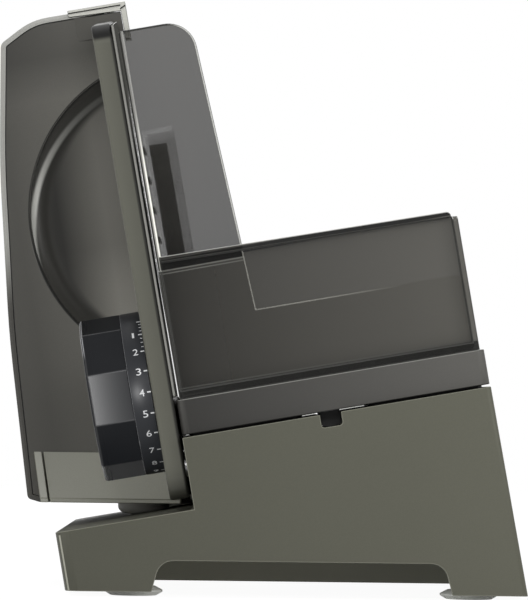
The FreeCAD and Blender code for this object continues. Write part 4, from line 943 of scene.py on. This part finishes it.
class SLICER_OT_finish_plastics(bpy.types.Operator):
    """Finish the knob, table, food holder, buttons and feet."""

    bl_idname = "slicer.finish_plastics"
    bl_label = "Finish Plastics"

    def execute(self, context):
        palette = colours()
        width = sizes().edge_width
        paint(knob_black(), "knob_grip", "knob_cap")
        paint(moulded("Dial Black", palette.dial, 0.34, specular=0.1), "dial_ring")
        black = moulded("Black Plastic", screen_tone(34, 34, 35), 0.4, specular=0.3)
        paint(black, "switch_button", "lock_button", "switch_block", "motor_end_cap", "carriage_runner",
              "runner_keeper", "glide_pads")
        # Painted light: the swivel boss stands in shade under the housing, so it is painted a light grey
        paint(moulded("Boss Painted Light", screen_tone(160, 159, 153), 0.5, specular=0.3), "swivel_boss")
        paint(table_plastic(), "carriage_tray")
        paint(smoked_wall(), "carriage_wall")
        # Painted light: the fence gets lighter from its foot up
        paint(smoked("Smoked Fence", palette.smoke, 0.65, FENCE_SHADE), "holder_plate")
        paint(smoked("Smoked Pusher", screen_tone(60, 59, 56), 0.26), "pusher")
        grip = moulded("Grip Grey", screen_tone(112, 111, 108), 0.5, specular=0.2)
        paint(grip, "holder_grip", "holder_ledge")
        # The feet's own pale grey, raised further as painted light for the shade under the base
        paint(moulded("Foot Rubber", palette.rubber, 0.6), "rubber_feet")
        paint(moulded("Grommet Rubber", screen_tone(40, 40, 40), 0.6), "cord_inlet")
        edge_line(fence_edge(), 2.0 * width, "holder_plate")
        edge_line(guard_edge(), width, "carriage_wall")
        # Painted highlight: the table's edges are lighter where they face up
        tray_dark, tray_light = screen_tone(40, 40, 38), screen_tone(150, 150, 145)
        tray_edge = edge_finish("Table Edge", tray_dark, tray_light, UP_LEAN, 0.1, 0.5)
        edge_line(tray_edge, width, "carriage_tray")
        edge_line(knob_edge(), width, "knob_grip", least_angle=30.0)
        # Painted highlight: the ring's edges are lighter where they face left
        ring_edge = edge_finish("Ring Edge", palette.dial, screen_tone(120, 121, 122), -ACROSS, 0.3, 0.6)
        edge_line(ring_edge, 0.6 * width, "dial_ring")
        return {"FINISHED"}


def mesh_piece(name, build, material):
    """A new mesh object whose shape the build function makes in a bmesh."""
    mesh = bpy.data.meshes.new(name)
    work = bmesh.new()
    build(work)
    work.to_mesh(mesh)
    work.free()
    mesh.materials.append(material)
    made = bpy.data.objects.new(name, mesh)
    bpy.context.scene.collection.objects.link(made)
    return made


# Dial: whole steps 15 degrees apart, and the number 4 in front
DIAL_RADIUS = (reach("dial_ring", DEEP)[1] - reach("dial_ring", DEEP)[0]) / 2
DIAL_STEP = math.radians(15.0)
DIAL_FRONT_NUMBER = 4
DIAL_LAST_NUMBER = 20
DIAL_FINE_STEPS = 4
DIAL_FINE_UNTIL = 2
TWO_DIGIT_SHIFT = 0.35
TWO_DIGIT_SPREAD = 1.02
ONE_NARROWS = 0.42
STROKE_START = 0.1
FINE_SHARE = 0.6
BOLDNESS = 0.003


def dial_point(along, angle, height):
    """A point on the dial: millimetres from its right end, turned down from the front, off the ring."""
    outward = -DEEP * math.cos(angle) - UP_LEAN * math.sin(angle)
    from_knob_end = (KNOB_END - BLADE_CENTRE).dot(ACROSS) / MM
    sideways = ACROSS * (RING_RIGHT - along - from_knob_end) * MM
    return KNOB_END + sideways + outward * (DIAL_RADIUS + height) * MM


def number_shape(word):
    """Flat solid letters of one number, one unit high, as a mesh that the caller removes."""
    curve = bpy.data.curves.new("Dial_Number", "FONT")
    curve.body = word
    curve.align_x = "CENTER"
    curve.align_y = "CENTER"
    curve.offset = BOLDNESS
    curve.extrude = 0.5
    holder = bpy.data.objects.new("Dial_Number", curve)
    bpy.context.scene.collection.objects.link(holder)
    bpy.context.view_layer.update()
    shape = bpy.data.meshes.new_from_object(holder.evaluated_get(bpy.context.evaluated_depsgraph_get()))
    bpy.data.objects.remove(holder)
    bpy.data.curves.remove(curve)
    return shape


def add_number(work, number):
    """One number, laid round the dial ring."""
    settings = sizes()
    word = str(number)
    two_digits = len(word) == 2
    shape = number_shape(word)
    low = [min(point.co[i] for point in shape.vertices) for i in range(3)]
    high = [max(point.co[i] for point in shape.vertices) for i in range(3)]
    tall = settings.digit_height / MM
    wide = settings.digit_width / MM * len(word) * (TWO_DIGIT_SPREAD if two_digits else 1.0)
    wide *= ONE_NARROWS if number == 1 else 1.0
    middle = settings.digit_inset / MM + (TWO_DIGIT_SHIFT if two_digits else 0.0)
    thickness = settings.print_thickness / MM
    turn = (number - DIAL_FRONT_NUMBER) * DIAL_STEP
    first = len(work.verts)
    work.from_mesh(shape)
    bpy.data.meshes.remove(shape)
    work.verts.ensure_lookup_table()
    for corner in work.verts[first:]:
        share = [(corner.co[i] - low[i]) / (high[i] - low[i]) for i in range(3)]
        along = middle - (share[0] - 0.5) * wide
        angle = turn - (share[1] - 0.5) * tall / DIAL_RADIUS
        corner.co = dial_point(along, angle, (share[2] * 2 - 1) * thickness)


def build_numbers(work):
    for number in range(1, DIAL_LAST_NUMBER + 1):
        add_number(work, number)


def build_strokes(work):
    settings = sizes()
    thickness = settings.print_thickness / MM
    places = [step / DIAL_FINE_STEPS for step in range(DIAL_FINE_STEPS * DIAL_FINE_UNTIL)]
    places += list(range(DIAL_FINE_UNTIL, DIAL_LAST_NUMBER + 1))
    for place in places:
        size = 1.0 if place == int(place) else FINE_SHARE
        half = settings.stroke_width / MM / DIAL_RADIUS / 2 * size
        ends = (STROKE_START, STROKE_START + settings.stroke_length / MM * size)
        turn = (place - DIAL_FRONT_NUMBER) * DIAL_STEP
        corners = [
            work.verts.new(dial_point(ends[end], turn + side * half, height))
            for height in (-thickness, thickness)
            for end, side in ((0, -1), (0, 1), (1, 1), (1, -1))
        ]
        bottom, top = corners[:4], corners[4:]
        work.faces.new(top)
        work.faces.new(bottom[::-1])
        for i in range(4):
            work.faces.new((bottom[i], bottom[(i + 1) % 4], top[(i + 1) % 4], top[i]))
    bmesh.ops.recalc_face_normals(work, faces=work.faces)


class SLICER_OT_print_dial(bpy.types.Operator):
    """Print the numbers and strokes on the dial ring."""

    bl_idname = "slicer.print_dial"
    bl_label = "Print Dial"

    def execute(self, context):
        ink = moulded("Dial Print", colours().marks, 0.5, 0.05, specular=0.2)
        for name, build in (("dial_numbers", build_numbers), ("dial_strokes", build_strokes)):
            piece = mesh_piece(name, build, ink)
            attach(piece, "knob")
        return {"FINISHED"}


class SLICER_OT_studio(bpy.types.Operator):
    """Set the floor, lights, world and camera."""

    bl_idname = "slicer.studio"
    bl_label = "Studio"

    def execute(self, context):
        place_camera(context)
        build_world(context)
        place_lamps(context)
        lay_floor()
        return {"FINISHED"}


PICTURE_WIDTH = 528.0
PICTURE_HEIGHT = 600.0
PIXEL_AT_BASE = 0.45 * MM
HORIZON_ROW = 397.0
SENSOR_WIDTH = 36.0
BLADE_LEFT_OF_CAMERA = 54.4 * MM
CLIP_START = 0.05
CLIP_END = 30.0


def place_camera(context):
    settings = sizes()
    base_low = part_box("base_shell")[0]
    data = bpy.data.cameras.new("Studio Camera")
    camera = bpy.data.objects.new("Studio_Camera", data)
    context.scene.collection.objects.link(camera)
    data.sensor_fit = "HORIZONTAL"
    data.sensor_width = SENSOR_WIDTH
    data.lens = SENSOR_WIDTH * settings.camera_distance / (PICTURE_WIDTH * PIXEL_AT_BASE)
    below_middle = HORIZON_ROW - PICTURE_HEIGHT / 2
    data.shift_y = below_middle / PICTURE_WIDTH
    data.shift_x = below_middle * math.sin(settings.camera_roll) / PICTURE_WIDTH
    data.clip_start = CLIP_START
    data.clip_end = CLIP_END
    camera.location = (
        BLADE_CENTRE.x + BLADE_LEFT_OF_CAMERA,
        base_low.y - settings.camera_distance,
        settings.camera_height,
    )
    camera.rotation_euler = (math.pi / 2, -settings.camera_roll, 0)
    context.scene.camera = camera


def show_white(tree):
    """1 for the rays that should meet the white studio, seen straight, mirrored or through clear plastic."""
    seen = add_node(tree, "ShaderNodeLightPath")
    straight = calculate(tree, "MAXIMUM", seen.outputs["Is Camera Ray"], seen.outputs["Is Transmission Ray"])
    return calculate(tree, "MAXIMUM", straight, seen.outputs["Is Glossy Ray"])


def build_world(context):
    world = bpy.data.worlds.new("Studio World")
    world.use_nodes = True
    context.scene.world = world
    tree = world.node_tree
    background = tree.nodes["Background"]
    background.inputs["Color"].default_value = (1, 1, 1, 1)
    strength = calculate(tree, "MAXIMUM", show_white(tree), sizes().world_light)
    tree.links.new(strength, background.inputs["Strength"])


# Lamps on the whole machine: place, width and height in metres, and power in watts
LAMPS = (
    ("Front_Lamp", (0.2, -2.5, 1.0), (1.6, 0.7), 17.0),
    ("Key_Lamp", (1.3, -1.1, 0.7), (0.7, 1.0), 5.0),
    ("Fill_Lamp", (-1.4, -0.9, 0.6), (0.8, 1.0), 6.0),
    ("Top_Lamp", (-0.2, 0.1, 1.6), (1.2, 1.0), 5.0),
    ("Back_Lamp", (0.3, 2.0, 0.9), (1.4, 1.0), 5.0),
)
LAMP_TARGET = Vector((0, 0, 0.13))


def area_lamp(context, name, centre, target, extent, power):
    data = bpy.data.lights.new(name, "AREA")
    data.shape = "RECTANGLE"
    data.size, data.size_y = extent
    data.energy = power
    lamp = bpy.data.objects.new(name, data)
    lamp.location = centre
    lamp.rotation_euler = (target - centre).to_track_quat("-Z", "Y").to_euler()
    context.scene.collection.objects.link(lamp)
    return lamp


def light_only(lamp, *nodes):
    """Keep a lamp to a few CAD nodes, as a studio's flags do, and only they shade each other from it."""
    for part in ("receiver", "blocker"):
        group = bpy.data.collections.new(f"{lamp.name}_{part}")
        for name in nodes:
            group.objects.link(frame["nodes"][name])
        setattr(lamp.light_linking, f"{part}_collection", group)


def place_lamps(context):
    for name, centre, extent, power in LAMPS:
        area_lamp(context, name, Vector(centre), LAMP_TARGET, extent, power)
    dish_left = machine_point(DISH_ACROSS - DISH_RADIUS, PANEL_FRONT, 0.0)
    beside_dish = dish_left + ACROSS * 1.2 - UP_LEAN * 0.15
    before_knob = Vector((KNOB_END.x - 0.38, -2.8, KNOB_END.z))
    under_knob = KNOB_END + Vector((0.0, 0.24, -0.18))
    for name, centre, target, extent, power, nodes in (
        ("Dish_Lamp", beside_dish, dish_left, (0.3, 0.3), 8.0, ["front_panel"]),
        ("Knob_Lamp", before_knob, KNOB_END, (0.5, 0.4), 100.0, ["knob_grip", "dial_ring"]),
        ("Under_Lamp", under_knob, KNOB_END, (0.25, 0.25), 2.6, ["knob_grip"]),
    ):
        light_only(area_lamp(context, name, centre, target, extent, power), *nodes)


FLOOR_WHITE = 1.12
FLOOR_ROUGHNESS = 0.9
FLOOR_SQUARES = 8
FLOOR_REACH = 2.5


def lay_floor():
    material = bpy.data.materials.new("Studio Floor")
    material.use_nodes = True
    tree = material.node_tree
    shader = tree.nodes["Principled BSDF"]
    shader.inputs["Base Color"].default_value = (*colours().floor, 1.0)
    shader.inputs["Roughness"].default_value = FLOOR_ROUGHNESS
    white = add_node(tree, "ShaderNodeEmission")
    white.inputs["Strength"].default_value = FLOOR_WHITE
    choose = add_node(tree, "ShaderNodeMixShader")
    share = times(tree, show_white(tree), 1.0 - sizes().floor_shadow)
    tree.links.new(share, choose.inputs[0])
    tree.links.new(shader.outputs[0], choose.inputs[1])
    tree.links.new(white.outputs[0], choose.inputs[2])
    tree.links.new(choose.outputs[0], tree.nodes["Material Output"].inputs["Surface"])

    def build(work):
        bmesh.ops.create_grid(work, x_segments=FLOOR_SQUARES, y_segments=FLOOR_SQUARES, size=FLOOR_REACH)

    floor = mesh_piece("Studio_Floor", build, material)


OPERATORS = (
    SLICER_OT_finish_castings,
    SLICER_OT_finish_plates,
    SLICER_OT_finish_hardware,
    SLICER_OT_finish_plastics,
    SLICER_OT_print_dial,
    SLICER_OT_studio,
)


class SLICER_PT_sidebar(bpy.types.Panel):
    """Lists the steps that finish the slicer."""

    bl_idname = "SLICER_PT_sidebar"
    bl_label = "Food Slicer"
    bl_space_type = "VIEW_3D"
    bl_region_type = "UI"
    bl_category = "Slicer"

    def draw(self, context):
        for operator in OPERATORS:
            self.layout.operator(operator.bl_idname)


CLASSES = (SlicerColours, SlicerSizes, *OPERATORS, SLICER_PT_sidebar)
GROUPS = (
    build_machine_place, build_fade, build_band, build_fine_grain, build_brushed_lines, build_edge_glint
)


def register():
    for one in CLASSES:
        bpy.utils.register_class(one)
    bpy.types.Scene.slicer_colours = bpy.props.PointerProperty(type=SlicerColours)
    bpy.types.Scene.slicer_sizes = bpy.props.PointerProperty(type=SlicerSizes)


def unregister():
    del bpy.types.Scene.slicer_sizes
    del bpy.types.Scene.slicer_colours
    for one in reversed(CLASSES):
        bpy.utils.unregister_class(one)


def main():
    register()
    bpy.context.scene.view_settings.view_transform = "Standard"
    for build in GROUPS:
        build()
    for operator in OPERATORS:
        getattr(bpy.ops.slicer, operator.bl_idname.split(".")[1])()
    bpy.context.view_layer.update()


if __name__ == "__main__":
    main()
